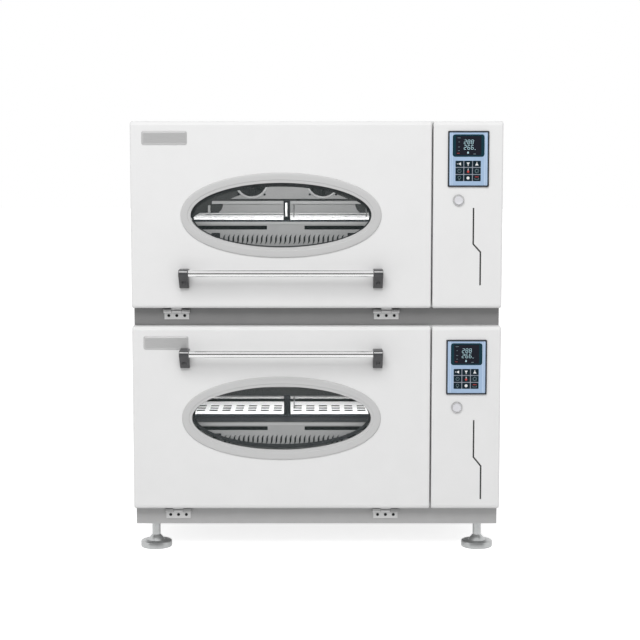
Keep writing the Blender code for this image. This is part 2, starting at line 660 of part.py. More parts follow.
def build_door(prefix, module):
    """Outer skin, inner liner with tunnel and knuckles, window and gasket."""
    axis = Frame(f"{prefix}_door_axis", (DOOR_MIDDLE, HINGE_DEPTH, HINGE_HEIGHT), module)
    skin = section_bar(front_section(DOOR_SKIN_DEPTH), DOOR_LEFT, DOOR_RIGHT, SIDE_BEVEL)
    hollow = sheet(
        front_section(DOOR_SKIN_DEPTH, SHEET, LINER_BACK), DOOR_LEFT + SHEET, DOOR_RIGHT - SHEET, "X"
    )
    window_hole = sheet(oval(RIM_SPIGOT + FIT), -SHEET, 2 * SHEET, "Y")
    piece(f"{prefix}_door_skin", skin, "white_enamel", axis, cut=[hollow, window_hole])

    left, right = DOOR_LEFT + SHEET, DOOR_RIGHT - SHEET
    bottom, top = FRONT_BOTTOM + SHEET, MODULE_HEIGHT - SHEET
    inside = RIM_SPIGOT + FIT
    tunnel = ring_sweep([
        [(x, depth, z) for x, z in oval(grow)]
        for grow, depth in (
            (inside, SHEET + FIT),
            (inside + TUNNEL_WALL, SHEET + FIT),
            (inside + TUNNEL_WALL, LINER_BACK + TUNNEL_LIP),
            (inside, LINER_BACK + TUNNEL_LIP),
        )
    ])
    lower_edge, knuckles, bores = [], [], []
    inner_end = MIDDLE_KNUCKLE / 2 + KNUCKLE_GAP
    for side in (-1, 1):
        middle = DOOR_MIDDLE + side * HINGE_SPACING
        for hand in (-1, 1):
            ends = sorted((middle + hand * inner_end, middle + hand * LEAF_WIDTH / 2))
            lower_edge += [
                (ends[0], bottom), (ends[0], HINGE_HEIGHT), (ends[1], HINGE_HEIGHT), (ends[1], bottom),
            ]
            knuckles.append(cylinder(KNUCKLE_RADIUS, *ends, HINGE_LINE, "X", SMALL_STEPS))
        half = LEAF_WIDTH / 2 + FIT
        bores.append(bore(PIN_RADIUS, middle - half, middle + half, HINGE_LINE, "X", PIN_STEPS))
    outline = [(left, bottom), *lower_edge, (right, bottom), (right, top), (left, top)]
    plate = sheet(outline, LINER_FRONT, LINER_BACK, "Y", [oval(inside + TUNNEL_WALL / 2)])
    piece(
        f"{prefix}_door_liner", plate, "liner_steel", axis,
        add=[tunnel, joined(*knuckles)], cut=[joined(*bores)],
    )

    rim = ring_sweep([
        [(x, depth, z) for x, z in oval(grow)]
        for grow, depth in (
            (0, -RIM_INNER_STEP),
            (RIM_INNER_SLOPE, -RIM_PROUD),
            (RIM_WIDTH - RIM_OUTER_SLOPE, -RIM_PROUD),
            (RIM_WIDTH, -RIM_OUTER_EDGE),
            (RIM_WIDTH, -FIT),
            (RIM_SPIGOT, -FIT),
            (RIM_SPIGOT, RIM_SPIGOT),
            (0, RIM_SPIGOT),
        )
    ])
    piece(f"{prefix}_window_trim", rim, "grey_plastic", axis)

    pane = sheet(oval(RIM_SPIGOT), RIM_SPIGOT + FIT, RIM_SPIGOT + FIT + GLASS_THICKNESS, "Y")
    piece(f"{prefix}_window_glass", pane, "window_glass", axis)

    edges = []
    for grow in (GASKET_WIDTH / 2, -GASKET_WIDTH / 2):
        inset = GASKET_INSET - grow
        edges.append(rounded_rectangle(
            DOOR_LEFT + inset, DOOR_RIGHT - inset, FRONT_BOTTOM + inset, MODULE_HEIGHT - inset,
            GASKET_CORNER + grow,
        ))
    seal = sheet(edges[0], LINER_BACK + FIT, LINER_BACK + FIT + GASKET_THICKNESS, "Y", [edges[1]])
    piece(f"{prefix}_door_gasket", seal, "seal_rubber", axis)
    return axis


def build_hinge_leaf(name, middle, module):
    """Fixed leaf on the plinth, with the middle knuckle and the hinge pin."""
    low, high = PLINTH_SETBACK - FIT - LEAF_SHEET, PLINTH_SETBACK - FIT
    half = LEAF_WIDTH / 2
    shoulder = HINGE_HEIGHT - KNUCKLE_RADIUS - 2 * FIT
    inner = MIDDLE_KNUCKLE / 2
    outline = [
        (middle - half, LEAF_BOTTOM), (middle + half, LEAF_BOTTOM), (middle + half, shoulder),
        (middle + inner, shoulder), (middle + inner, HINGE_HEIGHT),
        (middle - inner, HINGE_HEIGHT), (middle - inner, shoulder), (middle - half, shoulder),
    ]
    leaf = sheet(outline, low, high, "Y")
    knuckle = cylinder(KNUCKLE_RADIUS, middle - inner, middle + inner, HINGE_LINE, "X", SMALL_STEPS)
    pin = cylinder(PIN_RADIUS, middle - half - SHEET, middle + half + SHEET, HINGE_LINE, "X", PIN_STEPS)
    piece(name, leaf, "grey_plastic", module, add=[knuckle, pin])


def build_handle(prefix, axis, rod_z):
    """Round rod between two brackets on the door."""
    arm = [(-FIT, rod_z - BRACKET_DROP), (-BRACKET_PLATE, rod_z - BRACKET_DROP)]
    arm.append((-BRACKET_PLATE, rod_z - BRACKET_RISE - BRACKET_FILLET))
    arm.append((-BRACKET_PLATE - BRACKET_FILLET, rod_z - BRACKET_RISE))
    for i in range(ARC_STEPS + 1):
        turn = math.pi * (1.5 - i / ARC_STEPS)
        arm.append((-ROD_PROUD + BRACKET_RISE * math.cos(turn), rod_z + BRACKET_RISE * math.sin(turn)))
    arm.append((-FIT, rod_z + BRACKET_RISE))
    inner_half = HANDLE_LENGTH / 2 - BRACKET_WIDTH
    for side, word in ((-1, "left"), (1, "right")):
        ends = sorted((DOOR_MIDDLE + side * inner_half, DOOR_MIDDLE + side * HANDLE_LENGTH / 2))
        piece(f"{prefix}_handle_bracket_{word}", sheet(arm, ends[0], ends[1], "X"), "dark_plastic", axis)
    end = inner_half - FIT
    profile = [
        (0, -end), (ROD_RADIUS - ROD_CHAMFER, -end), (ROD_RADIUS, -end + ROD_CHAMFER),
        (ROD_RADIUS, end - ROD_CHAMFER), (ROD_RADIUS - ROD_CHAMFER, end), (0, end),
    ]
    rod = turned(profile, (DOOR_MIDDLE, -ROD_PROUD, rod_z), "X")
    piece(f"{prefix}_handle_rod", rod, "bright_aluminium", axis)


# Control column

def build_controls(prefix, module, panel_top):
    """Fascia with its panel, film and button."""
    left, right = FASCIA_LEFT, WIDTH / 2
    depth = CABINET_FRONT - FIT
    panel_left, panel_right = PANEL_MIDDLE - PANEL_WIDTH / 2, PANEL_MIDDLE + PANEL_WIDTH / 2
    panel_bottom = panel_top - PANEL_HEIGHT
    button_z = panel_bottom - BUTTON_DROP

    fascia = section_bar(front_section(depth), left, right, SIDE_BEVEL)
    hollow = sheet(front_section(depth, SHEET, depth + SHEET), left + SHEET, right - SHEET, "X")
    cut_out = block(
        (panel_left + PANEL_LEDGE, -SHEET, panel_bottom + PANEL_LEDGE),
        (panel_right - PANEL_LEDGE, 2 * SHEET, panel_top - PANEL_LEDGE),
    )
    collar = cylinder(COLLAR_RADIUS, -COLLAR_PROUD, SHEET / 2, (BUTTON_X, 0, button_z), "Y")
    opening = bore(BUTTON_RADIUS, -2 * COLLAR_PROUD, 2 * SHEET, (BUTTON_X, 0, button_z), "Y", ROUND_STEPS)
    made = piece(f"{prefix}_control_fascia", fascia, "white_enamel", module, cut=[hollow])
    tool(made, collar, module, "UNION")
    tool(made, joined(cut_out, opening), module, "DIFFERENCE")

    flange = sheet(
        rounded_rectangle(panel_left, panel_right, panel_bottom, panel_top, PANEL_CORNER),
        -PANEL_PROUD, -FIT, "Y",
    )
    inside = PANEL_LEDGE + FIT
    body = block(
        (panel_left + inside, -PANEL_PROUD / 2, panel_bottom + inside),
        (panel_right - inside, PANEL_BODY_DEPTH, panel_top - inside),
    )
    film_edges = (
        panel_left + PANEL_FRAME, panel_right - PANEL_FRAME,
        panel_bottom + PANEL_FRAME, panel_top - PANEL_FRAME,
    )
    film_corner = PANEL_CORNER - PANEL_FRAME / 2
    film_back = -PANEL_PROUD + FILM_THICKNESS
    recess = sheet(rounded_rectangle(*film_edges, film_corner), -2 * PANEL_PROUD, film_back + FIT, "Y")
    piece(f"{prefix}_control_panel", flange, "dark_plastic", module, add=[body], cut=[recess])

    film_edges = (film_edges[0] + FIT, film_edges[1] - FIT, film_edges[2] + FIT, film_edges[3] - FIT)
    film = sheet(rounded_rectangle(*film_edges, film_corner), -PANEL_PROUD, film_back, "Y")
    display_top = panel_top - DISPLAY_DROP
    raised = [block(
        (PANEL_MIDDLE - DISPLAY_WIDTH / 2, -PANEL_PROUD - DISPLAY_RAISE, display_top - DISPLAY_HEIGHT),
        (PANEL_MIDDLE + DISPLAY_WIDTH / 2, film_back - FIT, display_top),
    )]
    pitch_x, pitch_z = KEYPAD_WIDTH / KEY_ROWS, KEYPAD_HEIGHT / KEY_ROWS
    for row in range(KEY_ROWS):
        for column in range(KEY_ROWS):
            x = PANEL_MIDDLE - KEYPAD_WIDTH / 2 + column * pitch_x
            z = panel_top - KEYPAD_DROP - row * pitch_z
            raised.append(block(
                (x + KEY_GAP / 2, -PANEL_PROUD - KEY_RAISE, z - pitch_z + KEY_GAP / 2),
                (x + pitch_x - KEY_GAP / 2, film_back - FIT, z - KEY_GAP / 2),
            ))
    piece(f"{prefix}_membrane_overlay", film, "blue_film", module, add=[joined(*raised)])

    button_axis = Frame(f"{prefix}_button_axis", (BUTTON_X, 0, button_z), module)
    back = SHEET + FIT
    profile = [
        (0, -BUTTON_PROUD), (BUTTON_RADIUS - BUTTON_ROUND, -BUTTON_PROUD),
        (BUTTON_RADIUS, -BUTTON_PROUD + BUTTON_ROUND_DEPTH), (BUTTON_RADIUS, back),
        (BUTTON_FLANGE, back), (BUTTON_FLANGE, back + BUTTON_FLANGE_SHEET),
        (BUTTON_RADIUS / 2, back + BUTTON_FLANGE_SHEET), (BUTTON_RADIUS / 2, back + BUTTON_LENGTH),
        (0, back + BUTTON_LENGTH),
    ]
    piece(
        f"{prefix}_power_button", turned(profile, (BUTTON_X, 0, button_z), "Y"),
        "machined_steel", button_axis,
    )


# Chamber

def build_liner(prefix, module):
    """Open inner box with the idler bearings on its floor and the fan motors on its back."""
    shell = block(
        (CHAMBER_LEFT - SHEET, CABINET_FRONT, CHAMBER_FLOOR - SHEET),
        (CHAMBER_RIGHT + SHEET, CHAMBER_BACK + SHEET, CHAMBER_CEILING + SHEET),
    )
    space = block(
        (CHAMBER_LEFT, CABINET_FRONT - SHEET, CHAMBER_FLOOR),
        (CHAMBER_RIGHT, CHAMBER_BACK, CHAMBER_CEILING),
    )
    bosses, bores = [], []
    for side in (-1, 1):
        spot = (CHAMBER_MIDDLE + side * IDLER_SPACING, IDLER_DEPTH, 0)
        low = CHAMBER_FLOOR - SHEET / 2
        bosses.append(cylinder(BEARING_RADIUS, low, BEARING_TOP, spot, "Z", SMALL_STEPS))
        bores.append(bore(JOURNAL_RADIUS, BEARING_TOP - JOURNAL_LENGTH - SHEET, BEARING_TOP + SHEET, spot))
    for side in (-1, 1):
        spot = (CHAMBER_MIDDLE + side * PORT_SPACING / 2, CHAMBER_BACK, PORT_HEIGHT)
        bosses.append(cylinder(FAN_MOTOR_RADIUS, SHEET / 2, FAN_MOTOR_LENGTH, spot, "Y", SMALL_STEPS))
        bores.append(bore(FAN_SHAFT_RADIUS, -2 * SHEET, FAN_MOTOR_LENGTH - SHEET, spot, "Y", PIN_STEPS))
    made = piece(f"{prefix}_chamber_liner", shell, "liner_steel", module, cut=[space])
    tool(made, joined(*bosses), module, "UNION")
    tool(made, joined(*bores), module, "DIFFERENCE")


def louvre(x):
    """One louvre slot of the apron: a narrow slot that leans to the right at mid-height."""
    half = LOUVRE_LENGTH / 2
    points = []
    for side, steps in ((1, (-1, 0, 1)), (-1, (1, 0, -1))):
        for t in steps:
            shift = LOUVRE_BOW * (1 - t * t) - LOUVRE_BOW / 2
            reach = side * LOUVRE_WIDTH / 2 * (1 - LOUVRE_TAPER * t * t)
            points.append((x + shift + reach, LOUVRE_HEIGHT + half * t))
    return points


def build_apron(prefix, module):
    """Louvred cover in front of the drive, with a folded lip along its upper edge."""
    left, right = CHAMBER_LEFT + FIT, CHAMBER_RIGHT - FIT
    first = CHAMBER_MIDDLE - (LOUVRE_COUNT - 1) / 2 * LOUVRE_PITCH
    holes = [louvre(first + i * LOUVRE_PITCH) for i in range(LOUVRE_COUNT)]
    low, high = AIR_SLOT_HEIGHT - AIR_SLOT_WIDTH / 2, AIR_SLOT_HEIGHT + AIR_SLOT_WIDTH / 2
    for ends in (
        (left + AIR_SLOT_MARGIN, CHAMBER_MIDDLE - AIR_SLOT_GAP / 2),
        (CHAMBER_MIDDLE + AIR_SLOT_GAP / 2, right - AIR_SLOT_MARGIN),
    ):
        holes.append(rounded_rectangle(*ends, low, high, AIR_SLOT_CORNER, 2))
    front, back = APRON_DEPTH, APRON_DEPTH + APRON_SHEET
    panel = sheet(rectangle(left, right, CHAMBER_FLOOR + FIT, APRON_TOP), front, back, "Y", holes)
    lip = block(
        (left, front + APRON_SHEET / 2, APRON_TOP - APRON_SHEET), (right, back + APRON_LIP, APRON_TOP)
    )
    piece(f"{prefix}_apron_grille", panel, "grey_enamel", module, add=[lip])


def build_duct(prefix, module):
    """Back panel with a raised shoulder plate and two ringed ports, and the heater behind it."""
    left, right = CHAMBER_LEFT + FIT, CHAMBER_RIGHT - FIT
    spots = [(CHAMBER_MIDDLE + side * PORT_SPACING / 2, PORT_HEIGHT) for side in (-1, 1)]
    half = SHOULDER_PLATE_WIDTH / 2
    shoulders = [
        (CHAMBER_MIDDLE - half, SHOULDER_PLATE_BOTTOM),
        (CHAMBER_MIDDLE + half, SHOULDER_PLATE_BOTTOM),
        (CHAMBER_MIDDLE + half, SHOULDER_PLATE_TOP - SHOULDER_CUT),
        (CHAMBER_MIDDLE + half - SHOULDER_CUT, SHOULDER_PLATE_TOP),
        (CHAMBER_MIDDLE - half + SHOULDER_CUT, SHOULDER_PLATE_TOP),
        (CHAMBER_MIDDLE - half, SHOULDER_PLATE_TOP - SHOULDER_CUT),
    ]
    back = DUCT_DEPTH + DUCT_SHEET
    panel = sheet(
        rectangle(left, right, DUCT_BOTTOM, CHAMBER_CEILING - FIT), DUCT_DEPTH, back, "Y"
    )
    inner = DUCT_DEPTH + DUCT_SHEET / 2
    plate = sheet(shoulders, DUCT_DEPTH - SHOULDER_PLATE_PROUD, inner, "Y")
    rings, ports = [], []
    for x, z in spots:
        front = DUCT_DEPTH - PORT_RING_PROUD
        rings.append(cylinder(PORT_RADIUS + PORT_RING, front, inner, (x, 0, z), "Y"))
        ports.append(cylinder(PORT_RADIUS, front - SHEET, back + SHEET, (x, 0, z), "Y"))
    piece(
        f"{prefix}_duct_panel", panel, "grey_enamel", module,
        add=[plate, joined(*rings)], cut=[joined(*ports)],
    )

    reach = PORT_SPACING / 2 + FAN_RADIUS + HEATER_MARGIN
    rise = FAN_RADIUS + HEATER_MARGIN
    loop = rounded_rectangle(
        CHAMBER_MIDDLE - reach, CHAMBER_MIDDLE + reach, PORT_HEIGHT - rise, PORT_HEIGHT + rise,
        HEATER_CORNER, HEATER_CORNER_STEPS,
    )
    curve = bpy.data.curves.new(f"{prefix}_heater", "CURVE")
    curve.dimensions = "3D"
    curve.bevel_depth = HEATER_RADIUS
    curve.bevel_resolution = 1
    line = curve.splines.new("POLY")
    line.points.add(len(loop) - 1)
    depth = back + FIT + HEATER_RADIUS
    for point, (x, z) in zip(line.points, loop):
        point.co = (x, depth, z, 1)
    line.use_cyclic_u = True
    heater = bpy.data.objects.new(f"{prefix}_heater", curve)
    curve.materials.append(FINISHES["machined_steel"])
    bpy.context.scene.collection.objects.link(heater)
    heater.parent = module.empty


def build_fan(prefix, word, side, module):
    """Six-bladed fan on its motor shaft."""
    middle = (CHAMBER_MIDDLE + side * PORT_SPACING / 2, FAN_FRONT, PORT_HEIGHT)
    axis = Frame(f"{prefix}_fan_{word}_axis", middle, module)
    shaft_end = CHAMBER_BACK - FAN_FRONT + FAN_MOTOR_LENGTH - 2 * SHEET
    profile = [
        (0, 0), (FAN_HUB_RADIUS - FAN_HUB_ROUND, 0), (FAN_HUB_RADIUS, FAN_HUB_ROUND),
        (FAN_HUB_RADIUS, FAN_WIDTH),
        (FAN_SHAFT_RADIUS, FAN_WIDTH), (FAN_SHAFT_RADIUS, shaft_end), (0, shaft_end),
    ]
    blades = []
    for i in range(FAN_BLADES):
        blade = block(
            (-BLADE_SHEET / 2, -BLADE_DEPTH / 2, FAN_HUB_RADIUS - BLADE_ROOT),
            (BLADE_SHEET / 2, BLADE_DEPTH / 2, FAN_RADIUS),
        )
        twist = Matrix.Rotation(BLADE_TWIST, 4, "Z")
        turn = Matrix.Rotation(2 * math.pi * i / FAN_BLADES, 4, "Y")
        place = Matrix.Translation(Vector(middle) + Vector((0, FAN_WIDTH / 2, 0)))
        bmesh.ops.transform(blade, matrix=place @ turn @ twist, verts=blade.verts[:])
        blades.append(blade)
    piece(
        f"{prefix}_fan_{word}", turned(profile, middle, "Y", SMALL_STEPS), "dark_plastic", axis,
        add=[joined(*blades)],
    )


# Shaker drive

def crank(name, spot, frame, counterweight=False):
    """Journal, disc and eccentric pin, with or without a counterweight opposite the pin."""
    journal_low = BEARING_TOP - JOURNAL_LENGTH
    profile = [
        (0, journal_low), (JOURNAL_RADIUS, journal_low), (JOURNAL_RADIUS, CRANK_BOTTOM),
        (CRANK_DISC_RADIUS, CRANK_BOTTOM), (CRANK_DISC_RADIUS, CRANK_TOP), (0, CRANK_TOP),
    ]
    pin_top = CRANK_TOP + PIN_JOURNAL_LENGTH
    add = [cylinder(PIN_JOURNAL_RADIUS, CRANK_TOP - SHEET, pin_top, spot + REST_OFFSET, "Z", SMALL_STEPS)]
    if counterweight:
        opposite = REST_PHASE + math.pi
        start = opposite - COUNTERWEIGHT_ANGLE / 2
        outline = [(spot.x, spot.y)]
        for i in range(COUNTERWEIGHT_STEPS + 1):
            turn = start + COUNTERWEIGHT_ANGLE * i / COUNTERWEIGHT_STEPS
            reach = Vector((math.cos(turn), math.sin(turn))) * COUNTERWEIGHT_RADIUS
            outline.append((spot.x + reach.x, spot.y + reach.y))
        add.append(sheet(outline, CRANK_BOTTOM + 2 * FIT, CRANK_TOP - 2 * FIT, "Z"))
    piece(name, turned(profile, spot), "machined_steel", frame, add=add)


def build_drive(prefix, module):
    """Motor with the driven crank, and the two idler cranks."""
    drive = Vector((CHAMBER_MIDDLE, DRIVE_DEPTH, 0))
    floor = CHAMBER_FLOOR + FIT
    profile = [
        (0, floor), (MOTOR_FLANGE_RADIUS, floor), (MOTOR_FLANGE_RADIUS, floor + MOTOR_FLANGE),
        (MOTOR_RADIUS, floor + MOTOR_FLANGE), (MOTOR_RADIUS, BEARING_TOP - 2 * MOTOR_SHOULDER),
        (MOTOR_RADIUS - MOTOR_SHOULDER, BEARING_TOP - MOTOR_SHOULDER),
        (BEARING_RADIUS, BEARING_TOP - MOTOR_SHOULDER), (BEARING_RADIUS, BEARING_TOP), (0, BEARING_TOP),
    ]
    shaft_bore = bore(JOURNAL_RADIUS, BEARING_TOP - JOURNAL_LENGTH - SHEET, BEARING_TOP + SHEET, drive)
    piece(f"{prefix}_drive_motor", turned(profile, drive), "cast_iron", module, cut=[shaft_bore])

    axis = Frame(f"{prefix}_drive_axis", drive + Vector((0, 0, CRANK_BOTTOM)), module)
    crank(f"{prefix}_drive_crank", drive, axis, counterweight=True)
    for side, word in ((-1, "left"), (1, "right")):
        spot = Vector((CHAMBER_MIDDLE + side * IDLER_SPACING, IDLER_DEPTH, 0))
        idler_axis = Frame(f"{prefix}_idler_{word}_axis", spot + Vector((0, 0, CRANK_BOTTOM)), module)
        crank(f"{prefix}_idler_{word}", spot, idler_axis)
    return axis


def build_table(prefix, drive_axis):
    """Table carriage on the crank pins, and the perforated tray on it."""
    pin = Vector((CHAMBER_MIDDLE, DRIVE_DEPTH, CRANK_TOP)) + REST_OFFSET
    axis = Frame(f"{prefix}_platform_axis", pin, drive_axis)
    left, right = PLATFORM_MIDDLE - PLATFORM_WIDTH / 2, PLATFORM_MIDDLE + PLATFORM_WIDTH / 2
    underside = PLATFORM_TOP - PLATFORM_SHEET
    body = block((left, PLATFORM_FRONT, underside - PLATFORM_SKIRT), (right, PLATFORM_BACK, PLATFORM_TOP))
    hollow = block(
        (left + SHEET, PLATFORM_FRONT + SHEET, underside - PLATFORM_SKIRT - SHEET),
        (right - SHEET, PLATFORM_BACK - SHEET, underside),
    )
    spots = [Vector((CHAMBER_MIDDLE, DRIVE_DEPTH, 0)) + REST_OFFSET]
    spots += [
        Vector((CHAMBER_MIDDLE + side * IDLER_SPACING, IDLER_DEPTH, 0)) + REST_OFFSET for side in (-1, 1)
    ]
    hub_low, hub_top = CRANK_TOP + FIT, underside + PLATFORM_SHEET / 2
    hubs = [cylinder(HUB_RADIUS, hub_low, hub_top, spot, "Z", SMALL_STEPS) for spot in spots]
    bores = [
        bore(PIN_JOURNAL_RADIUS, hub_low - SHEET, CRANK_TOP + PIN_JOURNAL_LENGTH + SHEET, spot)
        for spot in spots
    ]
    made = piece(f"{prefix}_platform", body, "dark_plastic", axis, cut=[hollow])
    post_front = TRAY_FRONT + FIT
    slot_z = LOCK_POST_TOP - LOCK_SLOT_DROP
    post = sheet(
        rectangle(
            PLATFORM_MIDDLE - LOCK_POST_WIDTH / 2, PLATFORM_MIDDLE + LOCK_POST_WIDTH / 2,
            underside + PLATFORM_SHEET / 2, LOCK_POST_TOP,
        ),
        post_front, post_front + LOCK_POST_DEPTH, "Y",
        [rectangle(
            PLATFORM_MIDDLE - LOCK_SLOT_WIDTH / 2, PLATFORM_MIDDLE + LOCK_SLOT_WIDTH / 2,
            slot_z - LOCK_SLOT_LENGTH, slot_z,
        )],
    )
    tool(made, joined(*hubs, post), axis, "UNION")
    tool(made, joined(*bores), axis, "DIFFERENCE")

    half = TRAY_WIDTH / 2
    low = PLATFORM_TOP + FIT
    top = low + TRAY_EDGE
    first = PLATFORM_MIDDLE - (TRAY_COLUMNS - 1) / 2 * TRAY_PITCH_X
    holes = []
    for row in range(TRAY_ROWS):
        y = TRAY_FIRST_ROW + row * TRAY_PITCH_Y
        for column in range(TRAY_COLUMNS):
            x = first + column * TRAY_PITCH_X
            holes.append(rectangle(
                x - TRAY_HOLE_WIDTH / 2, x + TRAY_HOLE_WIDTH / 2,
                y - TRAY_HOLE_DEPTH / 2, y + TRAY_HOLE_DEPTH / 2,
            ))
    holes.append(rectangle(
        PLATFORM_MIDDLE - half + TRAY_WELL_MARGIN, PLATFORM_MIDDLE + half - TRAY_WELL_MARGIN,
        TRAY_WELL_FRONT, TRAY_WELL_BACK,
    ))
    plate = sheet(
        rectangle(PLATFORM_MIDDLE - half, PLATFORM_MIDDLE + half, TRAY_FRONT, TRAY_BACK),
        top - TRAY_SHEET, top, "Z", holes,
    )
    edges = sheet(
        rectangle(PLATFORM_MIDDLE - half, PLATFORM_MIDDLE + half, TRAY_FRONT, TRAY_BACK),
        low, top - TRAY_SHEET / 2, "Z",
        [rectangle(
            PLATFORM_MIDDLE - half + TRAY_SHEET, PLATFORM_MIDDLE + half - TRAY_SHEET,
            TRAY_FRONT + TRAY_SHEET, TRAY_BACK - TRAY_SHEET,
        )],
    )
    notch = block(
        (PLATFORM_MIDDLE - LOCK_POST_WIDTH / 2 - FIT, TRAY_FRONT - SHEET, low - SHEET),
        (PLATFORM_MIDDLE + LOCK_POST_WIDTH / 2 + FIT, post_front + LOCK_POST_DEPTH + FIT, top + SHEET),
    )
    piece(f"{prefix}_tray", plate, "white_tray", axis, add=[edges], cut=[notch])


# The stack

def build_module(prefix, handle_z, panel_top):
    base = BASES[prefix]
    module = Frame(f"{prefix}_module")
    module.empty.location = (0, FRONT_Y, base)
    build_cabinet(prefix, module)
    build_plinth(prefix, module)
    build_liner(prefix, module)
    build_apron(prefix, module)
    build_duct(prefix, module)
    door_axis = build_door(prefix, module)
    build_handle(prefix, door_axis, handle_z)
    build_controls(prefix, module, panel_top)
    drive_axis = build_drive(prefix, module)
    build_table(prefix, drive_axis)
    for side, word in ((-1, "left"), (1, "right")):
        build_hinge_leaf(f"{prefix}_hinge_leaf_{word}", DOOR_MIDDLE + side * HINGE_SPACING, module)
        build_fan(prefix, word, side, module)
    return module


build_module("upper", FRONT_BOTTOM + UPPER_HANDLE_HEIGHT, MODULE_HEIGHT - UPPER_PANEL_DROP)
lower_module = build_module("lower", MODULE_HEIGHT - LOWER_HANDLE_DROP, MODULE_HEIGHT - LOWER_PANEL_DROP)
for depth_word, foot_depth in (("front", FRONT_FOOT_DEPTH), ("rear", REAR_FOOT_DEPTH)):
    for foot_side, side_word in ((-1, "left"), (1, "right")):
        build_foot(f"foot_{depth_word}_{side_word}", foot_side * FOOT_SPACING, foot_depth, lower_module)
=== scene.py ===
"""Looks of a two-tier shaking incubator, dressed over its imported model.

Metres, +Z up, the doors face -Y. Each section makes or finishes one piece of the real
thing, or one group of pieces, in both modules of the stack.
"""

import math

import bpy
from mathutils import Matrix, Vector


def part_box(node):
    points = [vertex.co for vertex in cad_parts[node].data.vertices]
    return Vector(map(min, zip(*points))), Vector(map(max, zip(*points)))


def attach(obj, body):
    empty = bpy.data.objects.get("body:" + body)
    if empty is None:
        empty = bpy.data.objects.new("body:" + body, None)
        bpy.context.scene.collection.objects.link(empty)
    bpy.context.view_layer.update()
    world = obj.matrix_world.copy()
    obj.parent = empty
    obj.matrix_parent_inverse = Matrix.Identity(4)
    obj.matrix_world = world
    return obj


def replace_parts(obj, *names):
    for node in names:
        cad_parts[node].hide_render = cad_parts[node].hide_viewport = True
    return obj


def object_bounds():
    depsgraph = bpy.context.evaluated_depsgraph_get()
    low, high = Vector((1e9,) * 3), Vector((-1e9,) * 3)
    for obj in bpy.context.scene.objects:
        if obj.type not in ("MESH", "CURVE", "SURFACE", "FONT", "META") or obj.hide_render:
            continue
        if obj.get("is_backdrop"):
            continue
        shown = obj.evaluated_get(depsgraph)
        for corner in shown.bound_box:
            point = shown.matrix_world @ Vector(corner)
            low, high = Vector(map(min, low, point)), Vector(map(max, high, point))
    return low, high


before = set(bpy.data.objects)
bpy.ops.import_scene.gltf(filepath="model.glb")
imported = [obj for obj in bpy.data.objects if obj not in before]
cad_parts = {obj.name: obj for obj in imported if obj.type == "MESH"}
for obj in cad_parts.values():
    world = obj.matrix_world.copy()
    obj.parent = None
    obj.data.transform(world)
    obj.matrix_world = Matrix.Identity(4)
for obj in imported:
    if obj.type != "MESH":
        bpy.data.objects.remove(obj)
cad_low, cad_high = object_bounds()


# Camera
# At the photograph's angle: level with the upper module, 4.5 m in front of the doors,
# and looking down a little, with the stack just left of the middle of the picture.

door_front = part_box("upper_door_skin")[0].y
CAMERA_DISTANCE = 4.5
CAMERA_HEIGHT = 1.118
CAMERA_PITCH = math.radians(6.27)
CAMERA_LENS = 97.0
CAMERA_SHIFT = 0.0053

bpy.ops.object.select_all(action="DESELECT")
bpy.ops.object.camera_add(
    location=(0, door_front - CAMERA_DISTANCE, CAMERA_HEIGHT),
    rotation=(math.pi / 2 - CAMERA_PITCH, 0, 0),
)
camera = bpy.context.object
camera.name = "camera"
camera.data.lens = CAMERA_LENS
camera.data.shift_x = CAMERA_SHIFT
bpy.context.scene.camera = camera
bpy.context.scene.view_settings.view_transform = "Standard"


# Studio
# A plain white floor that keeps a faint shadow, an even white surround, and one large
# soft lamp above the camera, so that the lower edges and the gaps stay darker.

SURROUND = 0.45  # light that the surround throws on the stack
FLOOR_SIDE = 40.0
FLOOR_GLOW = 0.80  # what lifts the floor to white for the camera
MIRRORED_GLOW = 0.45  # and in reflections
LAMP_SIDE = 3.2
LAMP_PLACE = (-0.5, -4.3, 4.2)
LAMP_POWER = 183.0


def add_node(tree, kind, inputs=None, **settings):
    """Adds a node: a socket in inputs is linked, any other value is set."""
    made = tree.nodes.new(kind)
    for name, value in settings.items():
        setattr(made, name, value)
    for name, value in (inputs or {}).items():
        if isinstance(value, bpy.types.NodeSocket):
            tree.links.new(value, made.inputs[name])
        else:
            made.inputs[name].default_value = value
    return made


def calculate(tree, operation, *values):
    """The output of a math node."""
    return add_node(tree, "ShaderNodeMath", dict(enumerate(values)), operation=operation).outputs[0]


def emptied_tree(holder):
    """The node tree of a world or a material, with no nodes in it."""
    holder.use_nodes = True
    holder.node_tree.nodes.clear()
    return holder.node_tree


world = bpy.context.scene.world or bpy.data.worlds.new("surround")
bpy.context.scene.world = world
tree = emptied_tree(world)
ray = add_node(tree, "ShaderNodeLightPath")
seen = calculate(tree, "MAXIMUM", ray.outputs["Is Camera Ray"], ray.outputs["Is Glossy Ray"])
seen = calculate(tree, "MAXIMUM", seen, ray.outputs["Is Transmission Ray"])
level = add_node(tree, "ShaderNodeMapRange", {"Value": seen, "To Min": SURROUND})
light = add_node(tree, "ShaderNodeBackground", {"Color": (1, 1, 1, 1), "Strength": level.outputs[0]})
add_node(tree, "ShaderNodeOutputWorld", {"Surface": light.outputs[0]})

